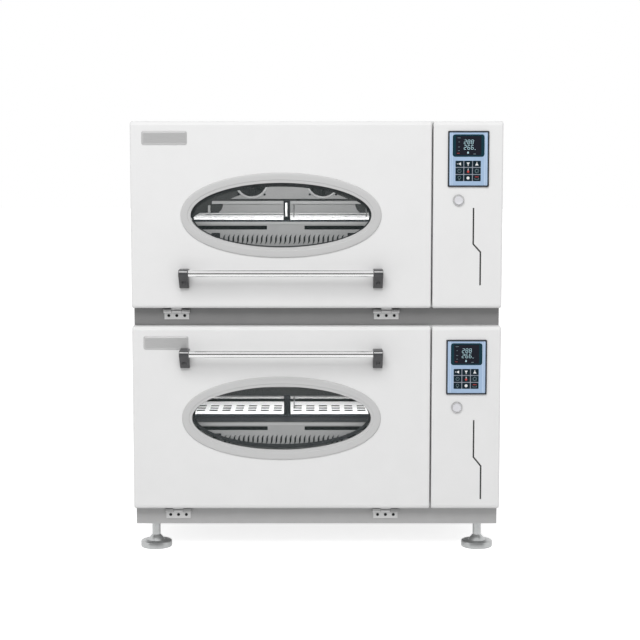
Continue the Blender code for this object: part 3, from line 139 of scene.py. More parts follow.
bpy.ops.mesh.primitive_plane_add(size=FLOOR_SIDE)
floor = bpy.context.object
floor.name = "studio_floor"
floor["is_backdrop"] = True
paper = bpy.data.materials.new("matt_white_paper")
tree = emptied_tree(paper)
ray = add_node(tree, "ShaderNodeLightPath")
seen = calculate(tree, "MAXIMUM", ray.outputs["Is Glossy Ray"], ray.outputs["Is Transmission Ray"])
glow = calculate(tree, "MULTIPLY", seen, MIRRORED_GLOW)
glow = calculate(tree, "MULTIPLY_ADD", ray.outputs["Is Camera Ray"], FLOOR_GLOW, glow)
shine = add_node(tree, "ShaderNodeEmission", {"Strength": glow})
matt = add_node(tree, "ShaderNodeBsdfDiffuse", {"Color": (0.8, 0.8, 0.8, 1)})
both = add_node(tree, "ShaderNodeAddShader", {0: shine.outputs[0], 1: matt.outputs[0]})
add_node(tree, "ShaderNodeOutputMaterial", {"Surface": both.outputs[0]})
floor.data.materials.append(paper)

bpy.ops.object.light_add(type="AREA", location=LAMP_PLACE)
lamp = bpy.context.object
lamp.name = "soft_lamp"
lamp.data.size = LAMP_SIDE
lamp.data.energy = LAMP_POWER
lamp.visible_glossy = False
aim = (cad_low + cad_high) / 2 - lamp.location
lamp.rotation_euler = aim.to_track_quat("-Z", "Y").to_euler()

# A grey card under the camera, for reflections alone, draws the darker line along bright metal
CARD_WIDTH = 6.0
CARD_HEIGHT = 1.5
CARD_DISTANCE = 2.0
CARD_GREY = 0.16

bpy.ops.mesh.primitive_plane_add(
    size=1, location=(0, door_front - CARD_DISTANCE, CARD_HEIGHT / 2), rotation=(math.pi / 2, 0, 0)
)
card = bpy.context.object
card.name = "studio_grey_card"
card.scale = (CARD_WIDTH, CARD_HEIGHT, 1)
card.visible_camera = False
card.visible_diffuse = False
card.visible_transmission = False
card.visible_shadow = False
card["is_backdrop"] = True
board = bpy.data.materials.new("matt_grey_board")
tree = emptied_tree(board)
shine = add_node(tree, "ShaderNodeEmission", {"Strength": CARD_GREY})
add_node(tree, "ShaderNodeOutputMaterial", {"Surface": shine.outputs[0]})
card.data.materials.append(board)


# Casings and plinths
# Folded steel sheet, enamelled white on the cabinets, doors and control columns and
# grey on the base pans. Powder coat flows out almost smooth, with a fine orange peel.

MODULES = ("lower", "upper")
MM = 0.001
# One grey coat on both base pans: darker on the upper one as painted shade between the modules, lighter on
# the lower one as painted light from the floor.
PLINTH_PAINTED_SHADE_GREYS = {"upper": ("#8A8A8A", "#868686", "#8E8E8E"), "lower": ("#B6B6B6", "#B2B2B2", "#BABABA")}


def linear(code):
    """An sRGB hex colour as linear RGBA."""
    parts = [int(code[i:i + 2], 16) / 255 for i in (1, 3, 5)]
    return (*((c / 12.92 if c <= 0.04045 else ((c + 0.055) / 1.055) ** 2.4) for c in parts), 1)


def patches(tree, place, size, detail):
    """Noise in patches of this size in millimetres."""
    values = {"Vector": place, "Scale": 1 / (size * MM), "Detail": detail}
    return add_node(tree, "ShaderNodeTexNoise", values).outputs[0]


def finish(name, code, roughness, metallic=0.0, shine=None, colours=None, sheen=None, bump=None,
           stretch=None, detail=3.0):
    """A material. Its colours and its sheen vary between two values in patches of a size in
    millimetres, and its bump has a size and a depth in millimetres."""
    made = bpy.data.materials.new(name)
    made.use_nodes = True
    tree = made.node_tree
    shader = tree.nodes["Principled BSDF"]
    shader.inputs["Base Color"].default_value = linear(code)
    shader.inputs["Roughness"].default_value = roughness
    shader.inputs["Metallic"].default_value = metallic
    if shine is not None:
        shader.inputs["Specular IOR Level"].default_value = shine
    place = add_node(tree, "ShaderNodeTexCoord").outputs["Object"]
    if stretch:
        place = add_node(tree, "ShaderNodeMapping", {"Vector": place, "Scale": stretch}).outputs[0]
    if colours:
        low, high, size = colours
        values = {0: patches(tree, place, size, detail), 6: linear(low), 7: linear(high)}
        mix = add_node(tree, "ShaderNodeMix", values, data_type="RGBA")
        tree.links.new(mix.outputs[2], shader.inputs["Base Color"])
    if sheen:
        low, high, size = sheen
        values = {"Value": patches(tree, place, size, detail), "To Min": low, "To Max": high}
        span = add_node(tree, "ShaderNodeMapRange", values)
        tree.links.new(span.outputs[0], shader.inputs["Roughness"])
    if bump:
        size, depth = bump
        values = {"Height": patches(tree, place, size, 2.0), "Strength": 1.0, "Distance": depth * MM}
        tree.links.new(add_node(tree, "ShaderNodeBump", values).outputs[0], shader.inputs["Normal"])
    return made


def dress(material, *endings, modules=MODULES):
    """Gives the CAD nodes whose names end so a material."""
    for module in modules:
        for ending in endings:
            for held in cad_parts[f"{module}_{ending}"].material_slots:
                held.material = material


white_coat = finish("white_powder_coated_steel", "#E9E9E9", 0.38,
                    colours=("#E7E7E7", "#EBEBEB", 60), bump=(3, 0.02))
dress(white_coat, "cabinet_shell", "door_skin", "control_fascia")
for module, (code, low, high) in PLINTH_PAINTED_SHADE_GREYS.items():
    plinth_shade_coat = finish(f"{module}_grey_powder_coat_with_painted_shade", code, 0.45,
                       colours=(low, high, 40), bump=(3, 0.02))
    dress(plinth_shade_coat, "plinth", modules=[module])


# Door windows
# Each door has an oval pane held by a moulded ABS rim that is clipped into the skin. The
# rim has a lower inner flange with a fine step, a flat face and a rounded outer edge.

WINDOW_WIDTH = 472 * MM
WINDOW_HEIGHT = 169 * MM
RIM_SECTION = (
    (0.0, -6.0), (0.0, 1.5), (0.5, 2.0), (7.4, 2.3), (7.9, 3.2), (8.7, 3.7), (16.0, 4.0),
    (23.0, 3.7), (25.0, 3.1), (26.0, 2.2), (26.5, 0.9), (26.5, 0.1), (6.0, 0.1), (6.0, -6.0),
)
GLASS_VEIL = 0.035  # how much of the pane's own colour covers what is behind it


def select_only(piece):
    bpy.ops.object.select_all(action="DESELECT")
    piece.select_set(True)
    bpy.context.view_layer.objects.active = piece


def settle(piece, name, material, body):
    """Puts a piece's place into its mesh, and gives it its name, finish, body and slot."""
    select_only(piece)
    bpy.ops.object.transform_apply(location=True, rotation=True, scale=True)
    piece.name = name
    piece.data.materials.clear()
    piece.data.materials.append(material)
    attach(piece, body)


def twin(piece, name, body, shift=(0, 0, 0)):
    """A copy of a finished piece with its own mesh, moved by shift."""
    made = piece.copy()
    made.data = piece.data.copy()
    bpy.context.collection.objects.link(made)
    made.data.transform(Matrix.Translation(shift))
    made.name = name
    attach(made, body)
    return made


def smooth(piece, angle=35):
    """Rounds the shading, and keeps the edges that are sharper than angle."""
    select_only(piece)
    bpy.ops.object.shade_smooth_by_angle(angle=math.radians(angle))


def modify(piece, kind, **settings):
    """Adds a modifier with its settings and applies it."""
    select_only(piece)
    change = piece.modifiers.new(kind.title(), kind)
    for name, value in settings.items():
        setattr(change, name, value)
    bpy.ops.object.modifier_apply(modifier=change.name)


def combine(piece, other, operation="DIFFERENCE"):
    """Cuts another piece out of a piece, or adds it, and removes the other."""
    modify(piece, "BOOLEAN", operation=operation, solver="EXACT", object=other)
    bpy.data.objects.remove(other)


def drawn_line(points, closed=True):
    """A flat line through points in millimetres, as a curve object."""
    curve = bpy.data.curves.new("line", "CURVE")
    curve.dimensions = "2D"
    line = bpy.data.objects.new("line", curve)
    bpy.context.collection.objects.link(line)
    draw_on(line, points, closed)
    return line


def draw_on(line, points, closed=True):
    """Adds one more line through points in millimetres to a curve object."""
    spline = line.data.splines.new("POLY")
    spline.points.add(len(points) - 1)
    spline.use_cyclic_u = closed
    for point, (x, y) in zip(spline.points, points):
        point.co = (x * MM, y * MM, 0, 1)


def meshed(curve):
    """Turns a curve object into a mesh."""
    select_only(curve)
    bpy.ops.object.convert(target="MESH")
    return bpy.context.object


def swept(path, section):
    """Sweeps a drawn section along a path, stands the result up to face -Y and returns it."""
    path.data.dimensions = "2D"
    path.data.bevel_mode = "OBJECT"
    path.data.bevel_object = section
    path.data.use_fill_caps = True
    piece = meshed(path)
    bpy.data.objects.remove(section)
    piece.rotation_euler.x = math.pi / 2
    return piece


def round_bar(radius, length, place, axis="Y", sides=32):
    """A cylinder along an axis, with its middle at the place."""
    turn = {"X": (0, math.pi / 2, 0), "Y": (math.pi / 2, 0, 0), "Z": (0, 0, 0)}[axis]
    bpy.ops.object.select_all(action="DESELECT")
    bpy.ops.mesh.primitive_cylinder_add(
        vertices=sides, radius=radius, depth=length, location=place, rotation=turn
    )
    bpy.ops.object.transform_apply(location=True, rotation=True, scale=True)
    return bpy.context.object


def centre_of(node):
    low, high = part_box(node)
    return (low + high) / 2


rim_plastic = finish("satin_grey_abs", "#C8C8C8", 0.36, bump=(2, 0.015))
door_middle = centre_of("lower_door_skin").x
MODULE_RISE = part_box("upper_door_skin")[0].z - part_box("lower_door_skin")[0].z

bpy.ops.curve.primitive_bezier_circle_add(radius=1)
oval = bpy.context.object
oval.scale = (WINDOW_WIDTH / 2, WINDOW_HEIGHT / 2, 1)
bpy.ops.object.transform_apply(scale=True)
for point in oval.data.splines[0].bezier_points:
    point.radius = 1
oval.data.resolution_u = 24
rim = swept(oval, drawn_line([(-outwards, forwards) for outwards, forwards in RIM_SECTION]))
rim.location = (door_middle, door_front, centre_of("lower_window_trim").z)
smooth(rim, 28)
settle(rim, "lower_window_rim", rim_plastic, "lower_door")
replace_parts(rim, "lower_window_trim")
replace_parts(twin(rim, "upper_window_rim", "upper_door", (0, 0, MODULE_RISE)), "upper_window_trim")

# A dark rubber frame lines the inner end of each window, a little lower in the upper door
FRAME_NARROWER = 10 * MM
FRAME_LOWER = 13 * MM
FRAME_OVERLAP = 2 * MM
FRAME_SHIFTS = {"lower": 3 * MM, "upper": -4.5 * MM}
FRAME_THICKNESS = 1.5 * MM

frame_rubber = finish("dark_silicone_frame", "#3A3A3C", 0.6, bump=(1, 0.02))
for module, shift in FRAME_SHIFTS.items():
    frame_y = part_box(f"{module}_door_liner")[1].y - 1.5 * FRAME_THICKNESS
    pane_z = centre_of(f"{module}_window_glass").z
    ovals = []
    for width, height, rise, depth in (
        (WINDOW_WIDTH + FRAME_OVERLAP, WINDOW_HEIGHT + FRAME_OVERLAP, 0, FRAME_THICKNESS),
        (WINDOW_WIDTH - FRAME_NARROWER, WINDOW_HEIGHT - FRAME_LOWER, shift, 3 * FRAME_THICKNESS),
    ):
        disc = round_bar(0.5, depth, (0, 0, 0), sides=128)
        disc.scale = (width, 1, height)
        disc.location = (door_middle, frame_y, pane_z + rise)
        bpy.ops.object.transform_apply(location=True, rotation=True, scale=True)
        ovals.append(disc)
    inner_frame, opening = ovals
    combine(inner_frame, opening)
    smooth(inner_frame)
    settle(inner_frame, f"{module}_window_inner_frame", frame_rubber, f"{module}_door")

glass = finish("clear_tempered_glass", "#8FA0A0", 0.03, sheen=(0.02, 0.05, 60))
glass.node_tree.nodes["Principled BSDF"].inputs["Alpha"].default_value = GLASS_VEIL
dress(glass, "window_glass")


# Door handles
# A bright anodised aluminium rod, fixed between two dark die-cast brackets. Each bracket has
# one recessed socket screw, and an arm that ends round the rod; a bright aluminium bar along
# the arm's rounded end is a painted highlight.

ROD_CHAMFER = 0.8 * MM
ARM_RADIUS = 9.5  # this and the next three in mm, as the drawn outline takes them
ARM_REACH = 45.0
CASTING_DROP = 41.0
CASTING_TOE = 12.0
ARM_ARC = (90, 60, 30, 0, -25, -49)  # degrees round the rod, from above to the sloping front
CASTING_ROUND = 1.2 * MM
SCREW_DROP = 26 * MM
SCREW_RADIUS = 4.4 * MM
RECESS_GAP = 0.9 * MM
RECESS_BACK = 22 * MM  # from the door's face to the bottom of the screw's recess
SCREW_HEIGHT = 3 * MM
HIGHLIGHT_BAR_RADIUS = 1.9 * MM
HIGHLIGHT_BAR_RISE = 5.2 * MM  # over the rod's axis
HIGHLIGHT_BAR_REACH = 7.2 * MM
HIGHLIGHT_BAR_ROUND = 0.4 * MM

anodised = finish("bright_anodised_aluminium", "#E4E4E4", 0.14, 1.0, sheen=(0.11, 0.17, 6))
cast_dark = finish("dark_powder_coated_casting", "#434345", 0.38, bump=(1.5, 0.03))
phosphated = finish("grey_phosphated_steel", "#727274", 0.5, 0.3, sheen=(0.45, 0.58, 2))
black_screw = finish("black_oxide_steel", "#1B1B1D", 0.35, 0.6, sheen=(0.30, 0.42, 2))


def ease(piece, width, segments=3):
    """Rounds the sharp edges of a piece, and its shading."""
    modify(piece, "BEVEL", width=width, segments=segments, limit_method="ANGLE")
    smooth(piece)


def socket_screw(radius, height):
    """A round screw head along -Y from the origin, with a rounded edge and a hexagon socket."""
    head = round_bar(radius, height, (0, -height / 2, 0))
    modify(head, "BEVEL", width=radius * 0.14, segments=2, limit_method="ANGLE")
    combine(head, round_bar(radius * 0.5, height, (0, -height, 0), sides=6))
    smooth(head)
    return head


def cast_bracket(width):
    """A handle casting that faces -Y, with the rod's axis on the X axis through the origin."""
    outline = [(0, ARM_RADIUS)]
    for angle in ARM_ARC:
        turn = math.radians(angle)
        outline.append((ARM_REACH + ARM_RADIUS * math.cos(turn), ARM_RADIUS * math.sin(turn)))
    outline += [(CASTING_TOE, -CASTING_DROP), (0, -CASTING_DROP)]
    casting = drawn_line(outline)
    casting.data.fill_mode = "BOTH"
    casting.data.extrude = width / 2
    casting = meshed(casting)
    bpy.ops.object.mode_set(mode="EDIT")
    bpy.ops.mesh.select_all(action="SELECT")
    bpy.ops.mesh.remove_doubles(threshold=0.01 * MM)
    bpy.ops.mesh.dissolve_limited(angle_limit=math.radians(1))
    bpy.ops.mesh.normals_make_consistent(inside=False)
    bpy.ops.object.mode_set(mode="OBJECT")
    casting.rotation_euler = (math.pi / 2, 0, -math.pi / 2)
    casting.location.y = ARM_REACH * MM
    bpy.ops.object.transform_apply(location=True, rotation=True)
    modify(casting, "BEVEL", width=CASTING_ROUND, segments=3, limit_method="ANGLE",
           angle_limit=math.radians(40))
    recess_place = (0, ARM_REACH * MM / 2 - RECESS_BACK, -SCREW_DROP)
    combine(casting, round_bar(SCREW_RADIUS + RECESS_GAP, ARM_REACH * MM, recess_place))
    smooth(casting)
    return casting


for module in MODULES:
    body = f"{module}_door"
    rod_low, rod_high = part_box(f"{module}_handle_rod")
    axis = (rod_low + rod_high) / 2
    rod = round_bar((rod_high.z - rod_low.z) / 2, rod_high.x - rod_low.x, axis, "X", 64)
    ease(rod, ROD_CHAMFER)
    settle(rod, f"{module}_grip_rod", anodised, body)
    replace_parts(rod, f"{module}_handle_rod")
    for side in ("left", "right"):
        node = f"{module}_handle_bracket_{side}"
        low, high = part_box(node)
        across = (low.x + high.x) / 2
        casting = cast_bracket(high.x - low.x)
        casting.location = (across, axis.y, axis.z)
        settle(casting, f"{module}_handle_casting_{side}", cast_dark, body)
        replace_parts(casting, node)
        screw = socket_screw(SCREW_RADIUS, SCREW_HEIGHT)
        screw.location = (across, axis.y + ARM_REACH * MM - RECESS_BACK, axis.z - SCREW_DROP)
        settle(screw, f"{module}_handle_screw_{side}", phosphated, body)
        # A bright bar along the arm's rounded end is a painted highlight.
        highlight_bar = round_bar(HIGHLIGHT_BAR_RADIUS, high.x - low.x - 2 * CASTING_ROUND,
                          (across, axis.y - HIGHLIGHT_BAR_REACH, axis.z + HIGHLIGHT_BAR_RISE), "X")
        ease(highlight_bar, HIGHLIGHT_BAR_ROUND, 2)
        settle(highlight_bar, f"{module}_handle_highlight_bar_{side}", anodised, body)


# Door hinges
# Pressed leaves of zinc-plated steel, fixed to the base pan with three black socket screws
# each. The door's own leaves end in two knuckles that turn on the pins.

KNUCKLE_RADIUS = 4.6 * MM
KNUCKLE_LENGTH = 21.2 * MM
KNUCKLE_WALL = 4.2 * MM  # from the pin's axis to the outside of the fixed knuckle
FIXED_LEAF_THICKNESS = 2.3 * MM
DOOR_LEAF_TUCK = 2 * MM
DOOR_LEAF_THICKNESS = 1.0 * MM
DOOR_LEAF_GAP = 0.8 * MM
DOOR_LEAF_ROUND = 0.3 * MM
HINGE_SCREW_RADIUS = 4.0 * MM
HINGE_SCREW_PROUD = 0.6 * MM
HINGE_SCREW_PITCH = 21 * MM
HINGE_SCREW_RISE = 10 * MM  # over the lower edge of the leaf


def block(size, place, turn=0.0):
    """A box with its middle at the place, turned round the Y axis."""
    bpy.ops.object.select_all(action="DESELECT")
    bpy.ops.mesh.primitive_cube_add(size=1, location=place, rotation=(0, turn, 0))
    bpy.context.object.scale = size
    bpy.ops.object.transform_apply(location=True, rotation=True, scale=True)
    return bpy.context.object


zinc = finish("zinc_plated_steel", "#D6D6D6", 0.38, 0.2, colours=("#CFCFCF", "#DDDDDD", 5))
dress(zinc, "hinge_leaf_left", "hinge_leaf_right")
for module in MODULES:
    body = f"{module}_door"
    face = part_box(f"{module}_plinth")[0].y - FIXED_LEAF_THICKNESS
    leaf_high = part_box(f"{module}_door_skin")[0].z + DOOR_LEAF_TUCK
    for side in ("left", "right"):
        low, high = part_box(f"{module}_hinge_leaf_{side}")
        across = (low.x + high.x) / 2
        pin_y, pin_z = low.y + KNUCKLE_WALL, high.z - KNUCKLE_WALL
        leaf_y = pin_y - KNUCKLE_RADIUS + DOOR_LEAF_THICKNESS / 2
        for name, end in (("a", low.x), ("b", high.x - KNUCKLE_LENGTH)):
            middle = end + KNUCKLE_LENGTH / 2
            bpy.ops.object.select_all(action="DESELECT")
            bpy.ops.mesh.primitive_cylinder_add(
                vertices=40, radius=KNUCKLE_RADIUS, depth=KNUCKLE_LENGTH, rotation=(0, math.pi / 2, 0),
                location=(middle, pin_y, pin_z),
            )
            knuckle = bpy.context.object
            bpy.ops.mesh.primitive_cube_add(size=1, location=(middle, leaf_y, (pin_z + leaf_high) / 2))
            leaf = bpy.context.object
            leaf.scale = (KNUCKLE_LENGTH, DOOR_LEAF_THICKNESS, leaf_high - pin_z)
            combine(knuckle, leaf, "UNION")
            ease(knuckle, DOOR_LEAF_ROUND, 2)
            settle(knuckle, f"{module}_door_knuckle_{side}_{name}", zinc, body)
        leaf_low = pin_z + KNUCKLE_RADIUS + DOOR_LEAF_GAP
        leaf = block((high.x - low.x, DOOR_LEAF_THICKNESS, leaf_high - leaf_low),
                     (across, leaf_y, (leaf_low + leaf_high) / 2))
        ease(leaf, DOOR_LEAF_ROUND, 2)
        settle(leaf, f"{module}_door_hinge_leaf_{side}", zinc, body)
        for i in (-1, 0, 1):
            screw = socket_screw(HINGE_SCREW_RADIUS, HINGE_SCREW_PROUD)
            screw.location = (across + i * HINGE_SCREW_PITCH, face, low.z + HINGE_SCREW_RISE)
            settle(screw, f"{module}_hinge_screw_{side}_{i + 2}", black_screw, "cabinet")


# Name plates
# A stamped aluminium plate is glued to the upper left corner of each door. Its face is
# brushed and its border slopes down to the door; here it stays bare.

PLATE_WIDTH = 118 * MM
PLATE_HEIGHT = 36 * MM
PLATE_CORNER = 5 * MM
PLATE_BORDER = 5 * MM
PLATE_EDGE = 1.2 * MM
PLATE_PROUD = 3.6 * MM
PLATE_INSET = 30 * MM  # from the door's left edge
PLATE_DROP = 25 * MM  # from the door's upper edge


def flat_plate(width, height, corner, depth, place):
    """A plate that faces -Y, with the middle of its back at the place and rounded corners."""
    plate = block((width, depth, height), (place[0], place[1] - depth / 2, place[2]))
    bpy.ops.object.mode_set(mode="EDIT")
    bpy.ops.mesh.select_mode(type="EDGE")
    bpy.ops.mesh.select_all(action="DESELECT")
    bpy.ops.object.mode_set(mode="OBJECT")
    for edge in plate.data.edges:
        ends = [plate.data.vertices[i].co for i in edge.vertices]
        edge.select = abs(ends[0].y - ends[1].y) > depth / 2
    bpy.ops.object.mode_set(mode="EDIT")
    bpy.ops.mesh.bevel(offset=corner, segments=6, affect="EDGES")
    bpy.ops.object.mode_set(mode="OBJECT")
    return plate


def pick_faces(piece, direction=(0, -1, 0)):
    """Selects the faces of a piece that look in a direction, and leaves it in edit mode."""
    select_only(piece)
    bpy.ops.object.mode_set(mode="EDIT")
    bpy.ops.mesh.select_mode(type="FACE")
    bpy.ops.mesh.select_all(action="DESELECT")
    bpy.ops.object.mode_set(mode="OBJECT")
    for face in piece.data.polygons:
        face.select = face.normal.dot(Vector(direction)) > 0.99
    bpy.ops.object.mode_set(mode="EDIT")


brushed = finish("brushed_aluminium", "#C6C6C6", 0.36, 0.3, colours=("#BBBBBB", "#CFCFCF", 0.8),
                 stretch=(1 / 30, 1, 1), detail=2.0)
for module in MODULES:
    low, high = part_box(f"{module}_door_skin")
    plate = flat_plate(PLATE_WIDTH, PLATE_HEIGHT, PLATE_CORNER, PLATE_EDGE, (
        low.x + PLATE_INSET + PLATE_WIDTH / 2, low.y, high.z - PLATE_DROP - PLATE_HEIGHT / 2
    ))
    pick_faces(plate)
    bpy.ops.mesh.inset(thickness=PLATE_BORDER, depth=PLATE_PROUD - PLATE_EDGE)
    bpy.ops.object.mode_set(mode="OBJECT")
    smooth(plate, 10)
    settle(plate, f"{module}_name_plate", brushed, f"{module}_door")


# Control panels
# Each panel is a dark moulded bezel, flush in the column, around one polyester film. The
# film is printed pale blue on its back, with a clear display window over a dark glass and
# nine printed keys in three rows.

BEZEL_CORNER = 3 * MM
BEZEL_ROUND = 1.0 * MM
BEZEL_RISE = 0.6 * MM  # of the rounded edge
BEZEL_BORDER = 3.6 * MM
BEZEL_STEP = 0.3 * MM
BEZEL_DEPTH = 1.2 * MM
BEZEL_PROUD = 0.6 * MM
FILM_PROUD = 0.2 * MM  # over the bezel's inner floor
FILM_LINE = 0.9 * MM
FILM_LINE_INSETS = (3.5, 7.5)
DISPLAY_WIDTH = 83 * MM
DISPLAY_HEIGHT = 58 * MM
DISPLAY_CORNER = 7 * MM
DISPLAY_DROP = 38 * MM  # from the panel's upper edge to the middle of the display
SCREEN_WIDTH = 66 * MM
SCREEN_HEIGHT = 50 * MM
SCREEN_CORNER = 1 * MM
KEY_WIDTH = 20.6 * MM
KEY_HEIGHT = 16.3 * MM
KEY_GAP = 2.0 * MM
KEY_CORNER = 1.6 * MM
KEY_FIELD_CORNER = 3 * MM
KEYS_DROP = 103.5 * MM  # to the middle of the nine keys
KEYS_SHIFT = 0.8 * MM  # the keys stand a little to the left of the panel's middle
PRINT_STEP = 0.12 * MM


def beside(spot, x, z):
    """A place x and z millimetres from a spot."""
    return spot + Vector((x * MM, 0, z * MM))


def printed_bar(spot, x, z, width, height, turn=0):
    """A printed rectangle: its place beside the spot and its size in mm, its turn in degrees."""
    return block((width * MM, 2 * PRINT_STEP, height * MM), beside(spot, x, z), math.radians(turn))


def printed_shape(spot, x, z, radius, sides=32, turn=0):
    """A printed disc or polygon, given in the same way."""
    shape = round_bar(radius * MM, 2 * PRINT_STEP, (0, 0, 0), sides=sides)
    shape.rotation_euler.y = math.radians(turn)
    shape.location = beside(spot, x, z)
    return shape


def printed_ring(spot, x, z, radius, line):
    """A printed circle, given in the same way."""
    bpy.ops.object.select_all(action="DESELECT")
    bpy.ops.mesh.primitive_torus_add(
        major_radius=radius * MM, minor_radius=line * MM / 2, major_segments=40, minor_segments=6,
        location=beside(spot, x, z), rotation=(math.pi / 2, 0, 0),
    )
    return bpy.context.object


def joined(pieces):
    bpy.ops.object.select_all(action="DESELECT")
    for piece in pieces:
        piece.select_set(True)
    bpy.context.view_layer.objects.active = pieces[0]
    bpy.ops.object.join()
    return bpy.context.object


bezel_plastic = finish("moulded_dark_abs", "#282C34", 0.42, bump=(0.8, 0.02))
display_frame = finish("dark_teal_window_print", "#0C3440", 0.20, sheen=(0.17, 0.24, 12))
screen_glass = finish("dark_display_glass", "#1B1D28", 0.12, colours=("#181A24", "#20222D", 20))
key_print = finish("dark_green_key_print", "#061E28", 0.40, shine=0.25, bump=(0.5, 0.01))
lit_segment = finish("lit_pale_cyan_segment", "#B4DCE6", 0.4, colours=("#A5CEDA", "#C8E8F0", 3))
white_print = finish("white_screen_print", "#E4E6E8", 0.5, bump=(0.4, 0.005))
grey_print = finish("grey_screen_print", "#70838A", 0.5, bump=(0.4, 0.005))
field_print = finish("blue_grey_field_print", "#8D939F", 0.5, bump=(0.4, 0.005))
red_print = finish("red_screen_print", "#C4423A", 0.5, bump=(0.4, 0.005))

# Fine pale lines run down both edges of the film
film = finish("printed_polyester_film", "#A3BCD9", 0.32, colours=("#9EB8D6", "#AAC2DE", 30))
tree = film.node_tree
film_colour = tree.nodes["Principled BSDF"].inputs["Base Color"]
panel_low, panel_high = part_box("upper_control_panel")
place = add_node(tree, "ShaderNodeTexCoord").outputs["Object"]
across = add_node(tree, "ShaderNodeSeparateXYZ", {0: place}).outputs[0]
inwards = calculate(tree, "SUBTRACT", across, (panel_low.x + panel_high.x) / 2)
inwards = calculate(tree, "ABSOLUTE", inwards)
film_half = (panel_high.x - panel_low.x) / 2 - BEZEL_BORDER
base = film_colour.links[0].from_socket
for inset in FILM_LINE_INSETS:
    line = calculate(tree, "COMPARE", inwards, film_half - inset * MM, FILM_LINE / 2)
    base = add_node(tree, "ShaderNodeMix", {0: line, 6: base, 7: linear("#D3E2F6")},
                    data_type="RGBA").outputs[2]
tree.links.new(base, film_colour)

# Each digit's lit segments, lettered from the top round to the middle one; sizes in mm
LIT = {"0": "abcdef", "2": "abged", "6": "acdefg", "8": "abcdefg"}
DIGIT_HALF_WIDTH = 2.8
DIGIT_HALF_HEIGHT = 5.2
DIGIT_PITCH = 9.2
DIGIT_LINE = 1.1
DIGIT_SLANT = 5  # degrees
DIGIT_ROWS = ((9.5, "288"), (-4.5, "266"))  # height over the screen's middle, and digits
SEGMENT_PLACES = {
    "a": (0, 1), "b": (1, 0.5), "c": (1, -0.5), "d": (0, -1), "e": (-1, -0.5), "f": (-1, 0.5), "g": (0, 0),
}

